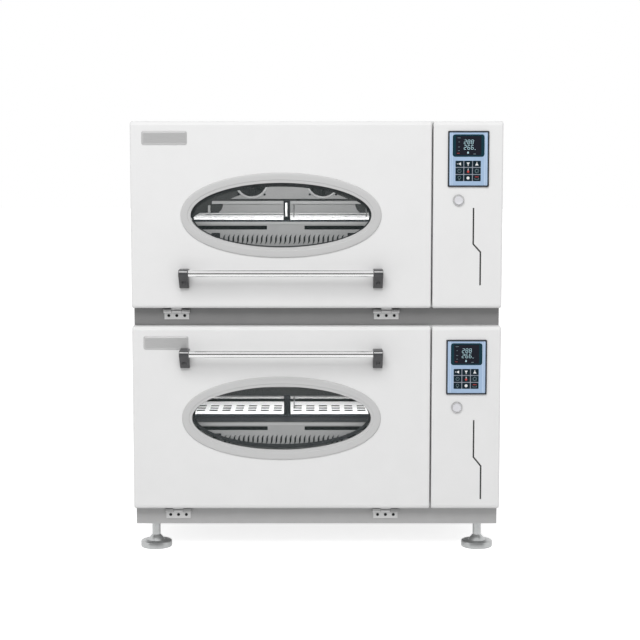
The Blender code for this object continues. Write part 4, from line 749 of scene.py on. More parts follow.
for module in MODULES:
    low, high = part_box(f"{module}_control_panel")
    width, height = high.x - low.x, high.z - low.z
    middle = Vector(((low.x + high.x) / 2, high.y, (low.z + high.z) / 2))
    bezel = flat_plate(width, height, BEZEL_CORNER, high.y - low.y + BEZEL_PROUD, middle)
    pick_faces(bezel)
    bpy.ops.mesh.inset(thickness=BEZEL_ROUND, depth=BEZEL_RISE)
    bpy.ops.mesh.inset(thickness=BEZEL_BORDER - BEZEL_ROUND, depth=0)
    bpy.ops.mesh.inset(thickness=BEZEL_STEP, depth=-BEZEL_DEPTH)
    bpy.ops.object.mode_set(mode="OBJECT")
    smooth(bezel, 30)
    settle(bezel, f"{module}_panel_bezel", bezel_plastic, "cabinet")
    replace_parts(bezel, f"{module}_control_panel")

    floor_y = low.y - BEZEL_PROUD - BEZEL_RISE + BEZEL_DEPTH
    inner = BEZEL_BORDER + BEZEL_STEP
    sheet = flat_plate(width - 2 * inner, height - 2 * inner, BEZEL_CORNER / 2, FILM_PROUD,
                       (middle.x, floor_y, middle.z))
    settle(sheet, f"{module}_panel_film", film, "cabinet")
    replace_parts(sheet, f"{module}_membrane_overlay")

    spot = Vector((middle.x, floor_y - FILM_PROUD, high.z - DISPLAY_DROP))
    window = flat_plate(DISPLAY_WIDTH, DISPLAY_HEIGHT, DISPLAY_CORNER, PRINT_STEP, spot)
    settle(window, f"{module}_display_window", display_frame, "cabinet")
    spot.y -= PRINT_STEP
    screen = flat_plate(SCREEN_WIDTH, SCREEN_HEIGHT, SCREEN_CORNER, PRINT_STEP, spot)
    settle(screen, f"{module}_display_screen", screen_glass, "cabinet")
    spot.y -= PRINT_STEP

    # The digits, a drop mark under them, and a small unit mark beside the lower row
    segments = []
    for rise, digits in DIGIT_ROWS:
        for i, digit in enumerate(digits):
            centre = beside(spot, (i - 0.95) * DIGIT_PITCH, rise)
            for letter in LIT[digit]:
                x = SEGMENT_PLACES[letter][0] * DIGIT_HALF_WIDTH
                z = SEGMENT_PLACES[letter][1] * DIGIT_HALF_HEIGHT
                x += z * math.tan(math.radians(DIGIT_SLANT))
                if letter in "bcef":
                    long = DIGIT_HALF_HEIGHT - 0.6 * DIGIT_LINE
                    segments.append(printed_bar(centre, x, z, DIGIT_LINE, long, DIGIT_SLANT))
                else:
                    long = 2 * DIGIT_HALF_WIDTH - DIGIT_LINE
                    segments.append(printed_bar(centre, x, z, long, DIGIT_LINE))
    segments += [
        printed_shape(spot, -1.5, -18.4, 2.3, 24),
        printed_shape(spot, -1.5, -15.8, 1.7, 3),
        printed_bar(spot, 17, -10, 3, 1),
    ]
    settle(joined(segments), f"{module}_display_digits", lit_segment, "cabinet")
    marks = joined([
        printed_bar(spot, -25, 20, 8, 1.2), printed_bar(spot, -25, 9.5, 3.5, 1.2),
        printed_bar(spot, -25, -3.5, 4.5, 1.2), printed_bar(spot, -25, -13, 4, 1.2),
        printed_bar(spot, 15.5, -21.5, 6, 1.6),
    ])
    settle(marks, f"{module}_display_marks", grey_print, "cabinet")
    alarm = joined([printed_bar(spot, -28, -20, 2.5, 1.2), printed_bar(spot, -24.8, -20, 1.6, 1.2)])
    settle(alarm, f"{module}_display_alarm", red_print, "cabinet")

    keys = Vector((middle.x - KEYS_SHIFT, floor_y - FILM_PROUD, high.z - KEYS_DROP))
    field = flat_plate(3 * KEY_WIDTH + 2 * KEY_GAP, 3 * KEY_HEIGHT + 2 * KEY_GAP, KEY_FIELD_CORNER,
                       PRINT_STEP / 2, keys)
    settle(field, f"{module}_key_field", field_print, "cabinet")
    centres = []
    for row in range(3):
        for column in range(3):
            step = Vector(((column - 1) * (KEY_WIDTH + KEY_GAP), 0, (1 - row) * (KEY_HEIGHT + KEY_GAP)))
            key = flat_plate(KEY_WIDTH, KEY_HEIGHT, KEY_CORNER, PRINT_STEP, keys + step)
            settle(key, f"{module}_key_{row + 1}_{column + 1}", key_print, "cabinet")
            centres.append(keys + step - Vector((0, PRINT_STEP, 0)))
    back, down, up, clock, heat, gear, bulb, disc, warmer = centres

    # Arrows on the upper row, the thermometer's stem, and the disc of the light key
    symbols = joined([
        printed_shape(back, 1.5, 0, 4.8, 3, -90), printed_bar(back, -5.4, 0, 2.6, 1.6),
        printed_shape(down, 0, 1.2, 4.8, 3, 180), printed_bar(down, 0, -3.8, 1.8, 3.6),
        printed_shape(up, 0, -1.4, 5.2, 3), printed_bar(up, 0, 3.6, 1.8, 3.4),
        printed_bar(heat, 0, 2.6, 1.8, 6.5), printed_shape(disc, 0, 0, 3.9),
    ])
    settle(symbols, f"{module}_white_symbols", white_print, "cabinet")

    # A clock, a gear, a lamp and a heated dish in outline
    symbols = [
        printed_ring(clock, 0, 0, 4.4, 1.1), printed_bar(clock, -0.8, 1.2, 0.9, 3.2, -35),
        printed_ring(gear, 0, 0, 4.0, 1.2),
        printed_ring(bulb, 0, 1, 3.6, 1.0), printed_bar(bulb, 0, -4.6, 3.2, 1.6),
        printed_bar(warmer, 0, -3.4, 11, 1.1), printed_bar(warmer, -4.6, -1.8, 1.0, 3.6, -30),
        printed_bar(warmer, 4.6, -1.8, 1.0, 3.6, 30),
    ]
    for turn in range(0, 360, 45):
        angle = math.radians(turn)
        symbols.append(printed_bar(gear, 5.4 * math.sin(angle), 5.4 * math.cos(angle), 1.2, 1.6, turn))
    settle(joined(symbols), f"{module}_grey_symbols", grey_print, "cabinet")

    # The thermometer's bulb and the three bars of the heated dish
    heat.y -= PRINT_STEP
    symbols = [printed_shape(heat, 0, -1.8, 3.0)]
    symbols += [printed_bar(warmer, x, 3, 2.2, 2.0) for x in (-3.4, 0, 3.4)]
    settle(joined(symbols), f"{module}_red_symbols", red_print, "cabinet")


# Painted stripes
# A dark grey line is screen-printed on each column, with one kink to the right.

STRIPE_POINTS = {  # in mm from the middle and the upper edge of the panel
    "upper": ((14.6, -199.5), (14.6, -294), (33.6, -315), (33.6, -402)),
    "lower": ((20.6, -214), (20.6, -313), (40.2, -337), (40.2, -426)),
}
STRIPE_SECTION = ((-2, 0), (-2, 0.15), (2, 0.15), (2, 0))

stripe_paint = finish("dark_grey_screen_print", "#2E2E2E", 0.5, colours=("#292929", "#343434", 4))
for module in MODULES:
    low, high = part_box(f"{module}_control_panel")
    stripe = swept(drawn_line(STRIPE_POINTS[module], closed=False), drawn_line(STRIPE_SECTION))
    stripe.location = ((low.x + high.x) / 2, door_front, high.z)
    settle(stripe, f"{module}_column_stripe", stripe_paint, "cabinet")


# Power buttons
# A round moulded push button under each panel, in a satin nickel ring that sits on the
# column. The button is satin light grey with a slightly dished face.

BUTTON_PROFILE = (
    (0.0, 0.0), (8.6, 0.0), (8.6, 12.0), (11.1, 12.2), (11.1, 16.8), (10.6, 17.5), (9.6, 17.7),
    (8.8, 17.4), (6.0, 17.0), (3.0, 16.85), (0.0, 16.8),
)
BUTTON_LENGTH = 17.7 * MM
COLLAR_PROFILE = (
    (12.0, -1.0), (12.0, 2.9), (12.3, 3.4), (12.9, 3.6), (13.8, 3.4), (14.5, 2.7), (14.9, 1.4), (15.0, 0.0),
    (15.0, -1.0),
)
TURN_STEPS = 64


def turned(profile, closed=False):
    """Turns a profile of radius and height in millimetres round the Z axis."""
    piece = meshed(drawn_line(profile, closed))
    bpy.ops.object.mode_set(mode="EDIT")
    bpy.ops.mesh.select_all(action="SELECT")
    bpy.ops.mesh.spin(steps=TURN_STEPS, angle=2 * math.pi, center=(0, 0, 0), axis=(0, 1, 0))
    bpy.ops.mesh.select_all(action="SELECT")
    bpy.ops.mesh.remove_doubles(threshold=0.001 * MM)
    bpy.ops.mesh.normals_make_consistent(inside=False)
    bpy.ops.object.mode_set(mode="OBJECT")
    piece.rotation_euler.x = math.pi / 2
    bpy.ops.object.transform_apply(rotation=True)
    smooth(piece, 30)
    return piece


def turned_forwards(profile, place, closed=False):
    """The same with its axis along -Y from the place."""
    piece = turned(profile, closed)
    piece.rotation_euler.x = math.pi / 2
    piece.location = place
    return piece


button_plastic = finish("satin_light_grey_abs", "#DCDCE0", 0.30, bump=(1, 0.01))
collar_metal = finish("satin_nickel_ring", "#808082", 0.26, 0.9, sheen=(0.18, 0.28, 4))
for module in MODULES:
    low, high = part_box(f"{module}_power_button")
    axis_x, axis_z = (low.x + high.x) / 2, (low.z + high.z) / 2
    button = turned_forwards(BUTTON_PROFILE, (axis_x, low.y + BUTTON_LENGTH, axis_z))
    settle(button, f"{module}_push_button", button_plastic, f"{module}_button")
    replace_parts(button, f"{module}_power_button")
    collar = turned_forwards(COLLAR_PROFILE, (axis_x, door_front, axis_z), closed=True)
    settle(collar, f"{module}_button_collar", collar_metal, "cabinet")


# Levelling feet
# Turned steel feet with their stems, zinc-plated, under the lower base pan. The disc has
# a rounded edge, and a cone joins it to the stem.

FOOT_PROFILE = (
    (0.0, 0.0), (38.5, 0.0), (40.6, 0.8), (41.7, 2.6), (41.7, 15.0), (41.0, 16.6), (39.4, 17.5), (23.0, 18.8),
    (22.4, 19.6), (21.6, 21.5), (15.5, 29.0), (11.6, 33.0), (11.0, 34.0), (11.0, 70.8), (0.0, 70.8),
)

plated = finish("zinc_plated_turned_steel", "#C2C4C4", 0.30, 0.8, colours=("#B4B6B6", "#CCCECE", 8))
for side in ("front_left", "front_right", "rear_left", "rear_right"):
    low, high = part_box(f"foot_{side}")
    foot = turned(FOOT_PROFILE)
    foot.location = ((low.x + high.x) / 2, (low.y + high.y) / 2, low.z)
    settle(foot, f"turned_foot_{side}", plated, "cabinet")
    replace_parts(foot, f"foot_{side}")


# Chambers
# The inner box and the door's inner panel are stainless sheet, coloured dark grey as painted
# shade inside the chamber. A small lamp behind the door's upper edge lights each chamber, as
# the lamp key does.

CHAMBER_LAMP_WIDTH = 0.60
CHAMBER_LAMP_DEPTH = 0.06
CHAMBER_LAMP_POWER = 3.0
CHAMBER_LAMP_DROP = 0.045
CHAMBER_LAMP_BACK = 0.05
CHAMBER_LAMP_TILT = math.radians(76)  # from straight down towards the back

# The stainless liner, door liner and duct panel are coloured dark grey as painted shade inside the chamber.
chamber_shade_coat = finish("stainless_steel_with_painted_shade", "#464646", 0.42,
                   colours=("#424242", "#4A4A4A", 25), bump=(2, 0.02))
dress(chamber_shade_coat, "chamber_liner", "door_liner", "duct_panel")
for module in MODULES:
    low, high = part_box(f"{module}_duct_panel")
    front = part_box(f"{module}_chamber_liner")[0].y
    bpy.ops.object.light_add(type="AREA", location=(
        (low.x + high.x) / 2, front + CHAMBER_LAMP_BACK, high.z - CHAMBER_LAMP_DROP
    ))
    lamp = bpy.context.object
    lamp.name = f"{module}_chamber_lamp"
    lamp.data.shape = "RECTANGLE"
    lamp.data.size = CHAMBER_LAMP_WIDTH
    lamp.data.size_y = CHAMBER_LAMP_DEPTH
    lamp.data.energy = CHAMBER_LAMP_POWER
    lamp.rotation_euler.x = CHAMBER_LAMP_TILT
    lamp.visible_camera = False
    lamp.visible_glossy = False


# Back of the chambers
# A light grey coated fan plate is screwed over the duct, with a turned ring round each of
# its two air ports. Under it a ledge and a lower panel close the duct.

FAN_PLATE_HALF = 137 * MM
FAN_PLATE_FOOT = 173 * MM
FAN_PLATE_SHOULDER = 15 * MM
FAN_PLATE_RISE = 311 * MM  # the heights are over the underside of the module
FAN_PLATE_TOP = 424 * MM
FAN_PLATE_DEPTH = 9 * MM
FAN_PLATE_SINK = 2 * MM  # into the duct panel
PORT_SPACING = 105 * MM
PORT_RISE = 362.5 * MM
PORT_RADIUS = 44.5 * MM
PORT_PROFILE = ((44.0, -2.0), (44.0, 1.6), (44.8, 2.6), (47.0, 3.0), (49.2, 2.6), (50.2, 1.4), (50.2, -2.0))
PORT_SCREW_CIRCLE = 54.5 * MM
PORT_SCREW_RADIUS = 3.0 * MM
PORT_SCREW_HEIGHT = 2 * MM
LEDGE_LOW = 296 * MM
LEDGE_HIGH = 304.5 * MM
LEDGE_DEPTH = 8 * MM
LEDGE_HALF = 222 * MM
# The lower panel reaches lower in the upper module, so more of the duct panel's painted shade shows in the
# lower one.
LOWER_PANEL_LOW = {"lower": 285 * MM, "upper": 262 * MM}
LOWER_PANEL_HALF = 207 * MM
LOWER_PANEL_DEPTH = 3 * MM
LOWER_PANEL_HOLLOW = 30 * MM
END_STRIP_FOOT = 262 * MM
END_STRIP_WIDTH = 7 * MM
END_STRIP_RISE = 30 * MM
END_STRIP_GAP = 29 * MM
END_STRIP_CORNER = 2 * MM

duct_coat = finish("light_grey_baked_coat", "#A2A2A2", 0.42,
                   colours=("#9C9C9C", "#A8A8A8", 40), bump=(2, 0.02))
apron_coat = finish("pale_grey_baked_coat", "#ACACAC", 0.42,
                    colours=("#A6A6A6", "#B2B2B2", 40), bump=(2, 0.02))
ring_steel = finish("turned_steel_ring", "#C2C2C2", 0.40, 0.1, sheen=(0.35, 0.45, 5))
for module in MODULES:
    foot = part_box(f"{module}_plinth")[0].z
    low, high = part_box(f"{module}_duct_panel")
    centre = (low.x + high.x) / 2
    table_centre = centre_of(f"{module}_platform").x
    face = high.y - FAN_PLATE_SINK
    upper_low = FAN_PLATE_RISE + FAN_PLATE_SHOULDER
    plate = block((2 * FAN_PLATE_HALF, FAN_PLATE_DEPTH, FAN_PLATE_TOP - upper_low),
                  (table_centre, face - FAN_PLATE_DEPTH / 2, foot + (upper_low + FAN_PLATE_TOP) / 2))
    pick_faces(plate, (0, 0, -1))
    bpy.ops.mesh.extrude_region_move(TRANSFORM_OT_translate={"value": (0, 0, -FAN_PLATE_SHOULDER)})
    bpy.ops.transform.resize(value=(FAN_PLATE_FOOT / FAN_PLATE_HALF, 1, 1))
    bpy.ops.mesh.select_all(action="SELECT")
    bpy.ops.mesh.normals_make_consistent(inside=False)
    bpy.ops.object.mode_set(mode="OBJECT")
    ledge = flat_plate(2 * LEDGE_HALF, LEDGE_HIGH - LEDGE_LOW, 1 * MM, LEDGE_DEPTH,
                       (centre, face, foot + (LEDGE_LOW + LEDGE_HIGH) / 2))
    smooth(ledge)
    settle(ledge, f"{module}_duct_ledge", ring_steel, "cabinet")
    panel_foot = LOWER_PANEL_LOW[module]
    panel = flat_plate(2 * LOWER_PANEL_HALF, LEDGE_LOW - panel_foot, 0.5 * MM, LOWER_PANEL_DEPTH,
                       (table_centre, face, foot + (LEDGE_LOW + panel_foot) / 2))
    for word, side in (("left", -1), ("right", 1)):
        axis = Vector((centre + side * PORT_SPACING, face - FAN_PLATE_DEPTH, foot + PORT_RISE))
        combine(plate, round_bar(PORT_RADIUS, 4 * FAN_PLATE_DEPTH, axis, sides=64))
        ring = turned_forwards(PORT_PROFILE, axis, closed=True)
        settle(ring, f"{module}_port_ring_{word}", ring_steel, "cabinet")
        for i in range(4):
            turn = math.pi / 4 + i * math.pi / 2
            screw = socket_screw(PORT_SCREW_RADIUS, PORT_SCREW_HEIGHT)
            screw.location = axis + PORT_SCREW_CIRCLE * Vector((math.cos(turn), 0, math.sin(turn)))
            settle(screw, f"{module}_port_screw_{word}_{i + 1}", black_screw, "cabinet")
        hollow_x = table_centre + side * (LOWER_PANEL_HALF + 0.6 * LOWER_PANEL_HOLLOW)
        combine(panel, round_bar(LOWER_PANEL_HOLLOW, 4 * LEDGE_DEPTH,
                                 (hollow_x, face, foot + LEDGE_LOW), sides=64))
        strip_x = table_centre + side * (LOWER_PANEL_HALF + END_STRIP_GAP)
        strip = flat_plate(END_STRIP_WIDTH, END_STRIP_RISE, END_STRIP_CORNER, LEDGE_DEPTH,
                           (strip_x, face, foot + END_STRIP_FOOT + END_STRIP_RISE / 2))
        smooth(strip)
        settle(strip, f"{module}_duct_end_strip_{word}", ring_steel, "cabinet")
    smooth(plate)
    settle(plate, f"{module}_fan_plate", duct_coat, "cabinet")
    smooth(panel)
    settle(panel, f"{module}_duct_lower_panel", apron_coat, "cabinet")


# Fans and heaters
# Behind the ports turn two fan wheels of pressed aluminium, and a stainless tubular
# heating element, tarnished by heat, bends round them.

fan_metal = finish("pressed_aluminium_sheet", "#A9A9A9", 0.34, 0.9, sheen=(0.28, 0.42, 12))
dress(fan_metal, "fan_left", "fan_right")
heater_tube = finish("heat_tarnished_steel_tube", "#8A7A68", 0.38, 1.0, colours=("#7A6E66", "#A08C6C", 30))
dress(heater_tube, "heater")


# Apron grilles
# The drive is covered by a folded sheet with a pale grey coat. Its louvres are cut as
# hooked slots with one raised lip each, and a dark grommet sits at either end of them.

APRON_SHEET = 2.0  # the lengths down to SHEET_CORNER are in mm, as the drawn outlines take them
LOUVRE_COUNT = 26
LOUVRE_PITCH = 12.5
LOUVRE_SHIFT = -1.9
LOUVRE_DROP = 46.0  # from the upper edge of the apron to the middle of a louvre
LOUVRE_HALF = 12.5
LOUVRE_HOOK = 4.2
LOUVRE_WIDTH = 4.9
LOUVRE_TAPER = 0.72
LOUVRE_STEPS = 8
LIP_RADIUS = 0.7
AIR_SLOT_DROP = 15.0
AIR_SLOT_WIDTH = 10.4
AIR_SLOT_GAP = 98.6
AIR_SLOT_SHIFT = 5.2
AIR_SLOT_MARGIN = 20.0
AIR_SLOT_CORNER = 1.2
SHEET_CORNER = 0.5
GROMMET_WIDTH = 23 * MM
GROMMET_HEIGHT = 13 * MM
GROMMET_LIP = 1.5 * MM
GROMMET_DISH = 0.6 * MM
GROMMET_SPACING = 179.5 * MM  # from the middle of the chamber
GROMMET_RISE = 236.5 * MM
APRON_TRIM_HEIGHT = 6 * MM
APRON_TRIM_DEPTH = 1 * MM


def rounded_loop(left, right, low, high, corner):
    """The outline of a rounded rectangle in millimetres."""
    points = []
    for x, y, start in (
        (right - corner, high - corner, 0), (left + corner, high - corner, 90),
        (left + corner, low + corner, 180), (right - corner, low + corner, 270),
    ):
        for turn in (0, 30, 60, 90):
            angle = math.radians(start + turn)
            points.append((x + corner * math.cos(angle), y + corner * math.sin(angle)))
    return points


def cut_sheet(loops, thickness):
    """A flat sheet in the XY plane, drawn as closed outlines with the holes inside them."""
    sheet = drawn_line(loops[0])
    for loop in loops[1:]:
        draw_on(sheet, loop)
    sheet.data.fill_mode = "BOTH"
    sheet.data.extrude = thickness * MM / 2
    sheet = meshed(sheet)
    bpy.ops.object.mode_set(mode="EDIT")
    bpy.ops.mesh.select_all(action="SELECT")
    bpy.ops.mesh.remove_doubles(threshold=0.01 * MM)
    bpy.ops.mesh.normals_make_consistent(inside=False)
    bpy.ops.object.mode_set(mode="OBJECT")
    return sheet


grommet_rubber = finish("dark_rubber", "#2E2E30", 0.6, shine=0.15, bump=(0.6, 0.03))
left_side, right_side = [], []
for i in range(-LOUVRE_STEPS, LOUVRE_STEPS + 1):
    t = i / LOUVRE_STEPS
    reach = LOUVRE_WIDTH / 2 * (1 - LOUVRE_TAPER * t * t)
    left_side.append((LOUVRE_HOOK * t ** 3 - reach, LOUVRE_HALF * t - LOUVRE_DROP))
    right_side.append((LOUVRE_HOOK * t ** 3 + reach, LOUVRE_HALF * t - LOUVRE_DROP))
louvre = right_side + left_side[::-1]
first = LOUVRE_SHIFT - (LOUVRE_COUNT - 1) / 2 * LOUVRE_PITCH
slot_low = -AIR_SLOT_DROP - AIR_SLOT_WIDTH / 2
slot_high = -AIR_SLOT_DROP + AIR_SLOT_WIDTH / 2
for module in MODULES:
    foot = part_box(f"{module}_plinth")[0].z
    low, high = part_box(f"{module}_apron_grille")
    across = (low.x + high.x) / 2
    half = (high.x - low.x) / 2 / MM
    drop = (high.z - low.z) / MM
    deep = (high.y - low.y) / MM
    loops = [rounded_loop(-half, half, -drop, 0, SHEET_CORNER)]
    for i in range(LOUVRE_COUNT):
        loops.append([(x + first + i * LOUVRE_PITCH, z) for x, z in louvre])
    for left, right in (
        (AIR_SLOT_MARGIN - half, AIR_SLOT_SHIFT - AIR_SLOT_GAP / 2),
        (AIR_SLOT_SHIFT + AIR_SLOT_GAP / 2, half - AIR_SLOT_MARGIN),
    ):
        loops.append(rounded_loop(left, right, slot_low, slot_high, AIR_SLOT_CORNER))
    apron = cut_sheet(loops, APRON_SHEET)
    lip = drawn_line([(x + first + LIP_RADIUS / 2, z) for x, z in right_side], closed=False)
    lip.data.bevel_depth = LIP_RADIUS * MM
    lip.data.bevel_resolution = 1
    lip.data.use_fill_caps = True
    lip = meshed(lip)
    lip.location.z = APRON_SHEET * MM / 2
    modify(lip, "ARRAY", count=LOUVRE_COUNT, use_relative_offset=False, use_constant_offset=True,
           constant_offset_displace=(LOUVRE_PITCH * MM, 0, 0))
    fold = cut_sheet([rounded_loop(-half, half, -APRON_SHEET, 0, SHEET_CORNER)], deep - APRON_SHEET / 2)
    fold.location.z = -deep * MM / 2 + APRON_SHEET * MM / 4
    apron = joined([apron, lip, fold])
    smooth(apron)
    apron.rotation_euler.x = math.pi / 2
    apron.location = (across, low.y + APRON_SHEET * MM / 2, high.z)
    settle(apron, f"{module}_louvred_apron", apron_coat, "cabinet")
    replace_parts(apron, f"{module}_apron_grille")
    trim = flat_plate(high.x - low.x, APRON_TRIM_HEIGHT, SHEET_CORNER * MM, APRON_TRIM_DEPTH,
                      (across, low.y, high.z - APRON_TRIM_HEIGHT / 2))
    smooth(trim)
    settle(trim, f"{module}_apron_edge_trim", ring_steel, "cabinet")
    for word, side in (("left", -1), ("right", 1)):
        grommet = flat_plate(GROMMET_WIDTH, GROMMET_HEIGHT, GROMMET_LIP, GROMMET_LIP,
                             (across + side * GROMMET_SPACING, low.y, foot + GROMMET_RISE))
        pick_faces(grommet)
        bpy.ops.mesh.inset(thickness=GROMMET_LIP, depth=-GROMMET_DISH)
        bpy.ops.object.mode_set(mode="OBJECT")
        settle(grommet, f"{module}_apron_grommet_{word}", grommet_rubber, "cabinet")


# Shaker drives
# Under each table sit a cast-iron motor, an eccentric crank with its counterweight and two
# idler cranks, all in grey iron with a thin oil film.

cast = finish("oiled_grey_iron", "#4A4A4C", 0.50, 0.5, colours=("#424244", "#545456", 8), bump=(1.2, 0.08))
dress(cast, "drive_motor", "drive_crank", "idler_left", "idler_right")


# Tables and trays
# The table is dark coated steel with a locking post. On it lies a perforated tray of thin
# white coated sheet, with a dark rubber strip along its front edge, a rail along its rear
# edge and two steel pins.

TRAY_SHEET = 1.0  # the lengths down to POST_NOTCH_DEPTH are in mm, as the drawn outlines take them
TRAY_EDGE_ROUND = 1.5
TRAY_HOLE_WIDTH = 23.0
TRAY_HOLE_DEPTH = 28.0
TRAY_HOLE_CORNER = 2.5
TRAY_FIRST_COLUMN = 27.7  # from the middle of the tray, to either side
TRAY_PITCH_X = 35.6
TRAY_PITCH_Y = 40.0
TRAY_COLUMNS = 7  # to either side of the middle
TRAY_FIRST_ROW = 44.0  # from the front edge of the tray
TRAY_ROWS = 3
WELL_FRONT = 199.0
WELL_BACK = 263.0
WELL_MARGIN = 25.0
WELL_CORNER = 4.0
POST_NOTCH_HALF = 9.6
POST_NOTCH_DEPTH = 6.8
STRIP_HEIGHT = 7.4 * MM
STRIP_DEPTH = 0.8 * MM
EYELET_PITCH = 8 * MM
EYELET_RADIUS = 0.9  # mm
RAIL_DEPTH = 30 * MM
RAIL_HEIGHT = 1.5 * MM
RAIL_INSET = 1 * MM
RAIL_SHORTER = 4 * MM
RAIL_ROUND = 0.5 * MM
PIN_RADIUS = 2 * MM
PIN_HEIGHT = 32 * MM
PIN_ROUND = 0.8 * MM
PIN_PLACES = ((18, 90), (219, 90))  # mm to the right of the tray's middle and behind its front edge
LATCH_WIDTH = 17 * MM
LATCH_HEIGHT = 48 * MM
LATCH_DEPTH = 1.5 * MM
LATCH_SINK = 0.4 * MM
LATCH_DROP = 25.5 * MM  # from the top of the post to the middle of the latch
PAINTED_HIGHLIGHT_WIDTH = 5.2 * MM
PAINTED_HIGHLIGHT_HEIGHT = 37 * MM
PAINTED_HIGHLIGHT_SHIFT = -1.5 * MM

table_coat = finish("dark_coated_table_steel", "#1F1F21", 0.45, shine=0.2, colours=("#1C1C1E", "#232325", 20))
dress(table_coat, "platform")
tray_coat = finish("white_coated_perforated_steel", "#F2F2F2", 0.40, shine=0.3,
                   colours=("#EFEFEF", "#F5F5F5", 20))
for module in MODULES:
    body = f"{module}_table"
    low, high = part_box(f"{module}_tray")
    middle = (low.x + high.x) / 2
    half = (high.x - low.x) / 2 / MM
    tray = block(high - low, (low + high) / 2)
    pick_faces(tray, (0, 0, -1))
    bpy.ops.mesh.delete(type="FACE")
    bpy.ops.object.mode_set(mode="OBJECT")
    modify(tray, "BEVEL", width=TRAY_EDGE_ROUND * MM, segments=3, limit_method="ANGLE")
    modify(tray, "SOLIDIFY", thickness=TRAY_SHEET * MM, offset=-1)
    loops = [
        rounded_loop(-POST_NOTCH_HALF, POST_NOTCH_HALF, -5, POST_NOTCH_DEPTH, 0.5),
        rounded_loop(WELL_MARGIN - half, half - WELL_MARGIN, WELL_FRONT, WELL_BACK, WELL_CORNER),
    ]
    for row in range(TRAY_ROWS):
        y = TRAY_FIRST_ROW + row * TRAY_PITCH_Y
        for column in range(TRAY_COLUMNS):
            for side in (-1, 1):
                x = side * (TRAY_FIRST_COLUMN + column * TRAY_PITCH_X)
                loops.append(rounded_loop(
                    x - TRAY_HOLE_WIDTH / 2, x + TRAY_HOLE_WIDTH / 2,
                    y - TRAY_HOLE_DEPTH / 2, y + TRAY_HOLE_DEPTH / 2, TRAY_HOLE_CORNER,
                ))
    cutter = cut_sheet(loops, 3 * (high.z - low.z) / MM)
    cutter.location = (middle, low.y, high.z)
    combine(tray, cutter)
    smooth(tray)
    settle(tray, f"{module}_perforated_tray", tray_coat, body)
    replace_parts(tray, f"{module}_tray")

    strip_middle = Vector((middle, low.y, low.z + STRIP_HEIGHT / 2))
    strip = flat_plate(high.x - low.x, STRIP_HEIGHT, 0.5 * MM, STRIP_DEPTH, strip_middle)
    smooth(strip)
    settle(strip, f"{module}_tray_edge_strip", grommet_rubber, body)
    strip_middle.y -= STRIP_DEPTH
    count = int((high.x - low.x) / EYELET_PITCH) - 1
    eyelets = [
        printed_shape(strip_middle, (i - (count - 1) / 2) * EYELET_PITCH / MM, 0, EYELET_RADIUS, 8)
        for i in range(count)
    ]
    settle(joined(eyelets), f"{module}_tray_edge_eyelets", grey_print, body)
    rail = block((high.x - low.x - RAIL_SHORTER, RAIL_DEPTH, RAIL_HEIGHT),
                 (middle, high.y - RAIL_DEPTH / 2 - RAIL_INSET, high.z + RAIL_HEIGHT / 2))
    ease(rail, RAIL_ROUND)
    settle(rail, f"{module}_tray_rear_rail", ring_steel, body)
    for i, (x, y) in enumerate(PIN_PLACES):
        pin_place = (middle + x * MM, low.y + y * MM, high.z + PIN_HEIGHT / 2)
        pin = round_bar(PIN_RADIUS, PIN_HEIGHT, pin_place, "Z")
        ease(pin, PIN_ROUND)
        settle(pin, f"{module}_tray_pin_{i + 1}", fan_metal, body)

    # A dark latch slides on the post; in the upper module a white strip on it is a painted highlight of the
    # lit post
    latch_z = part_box(f"{module}_platform")[1].z - LATCH_DROP
    latch = flat_plate(LATCH_WIDTH, LATCH_HEIGHT, 1 * MM, LATCH_DEPTH, (middle, low.y + LATCH_SINK, latch_z))
    smooth(latch)
    settle(latch, f"{module}_post_latch", table_coat, body)
    if module == "upper":
        painted_highlight = flat_plate(PAINTED_HIGHLIGHT_WIDTH, PAINTED_HIGHLIGHT_HEIGHT, 1 * MM, 1 * MM,
                           (middle + PAINTED_HIGHLIGHT_SHIFT, low.y - LATCH_DEPTH, latch_z))
        smooth(painted_highlight)
        settle(painted_highlight, f"{module}_latch_painted_highlight", tray_coat, body)


# Backs of the casings
# A cover over the fan motors is screwed to each back wall, black screws hold the casing
# along its edges, and a moulded appliance inlet with three flat pins sits low on one side.

COVER_WIDTH = 430 * MM
COVER_HEIGHT = 190 * MM
COVER_DEPTH = 1.5 * MM
COVER_CORNER = 12 * MM
COVER_BEVEL = 0.8 * MM
COVER_BEVEL_RISE = 0.5 * MM
COVER_RISE = 352 * MM  # the heights are over the underside of the module
COVER_SCREW_INSET = 12 * MM
BACK_SCREW_RADIUS = 4 * MM
BACK_SCREW_HEIGHT = 2.2 * MM
BACK_SCREW_INSET = 22 * MM
BACK_SCREW_RISES = (75 * MM, 230 * MM, 385 * MM, 513 * MM)
INLET_INSET = 85 * MM  # from the side of the casing to the middle of the inlet
INLET_RISE = 80 * MM
INLET_WIDTH = 28 * MM
INLET_HEIGHT = 22 * MM
INLET_DEPTH = 18 * MM
INLET_WALL = 1.5 * MM
INLET_FIT = 0.2 * MM
HOLLOW_ROUND = 0.0015  # as a share of the sides of the hollow
FLANGE_WIDTH = 50 * MM
FLANGE_HEIGHT = 28 * MM
FLANGE_DEPTH = 2.2 * MM
FLANGE_CORNER = 6 * MM
FLANGE_SCREW_SPACING = 20 * MM
FLANGE_SCREW_RADIUS = 2.5 * MM
FLANGE_SCREW_HEIGHT = 1.5 * MM
INLET_PIN_PLACES = ((-7, -3.5), (0, 3.5), (7, -3.5))  # mm from the middle of the inlet
INLET_PIN_SIZE = (2.4 * MM, 4.4 * MM)
INLET_PIN_INSET = 3.8 * MM
INLET_PIN_ROUND = 0.5 * MM

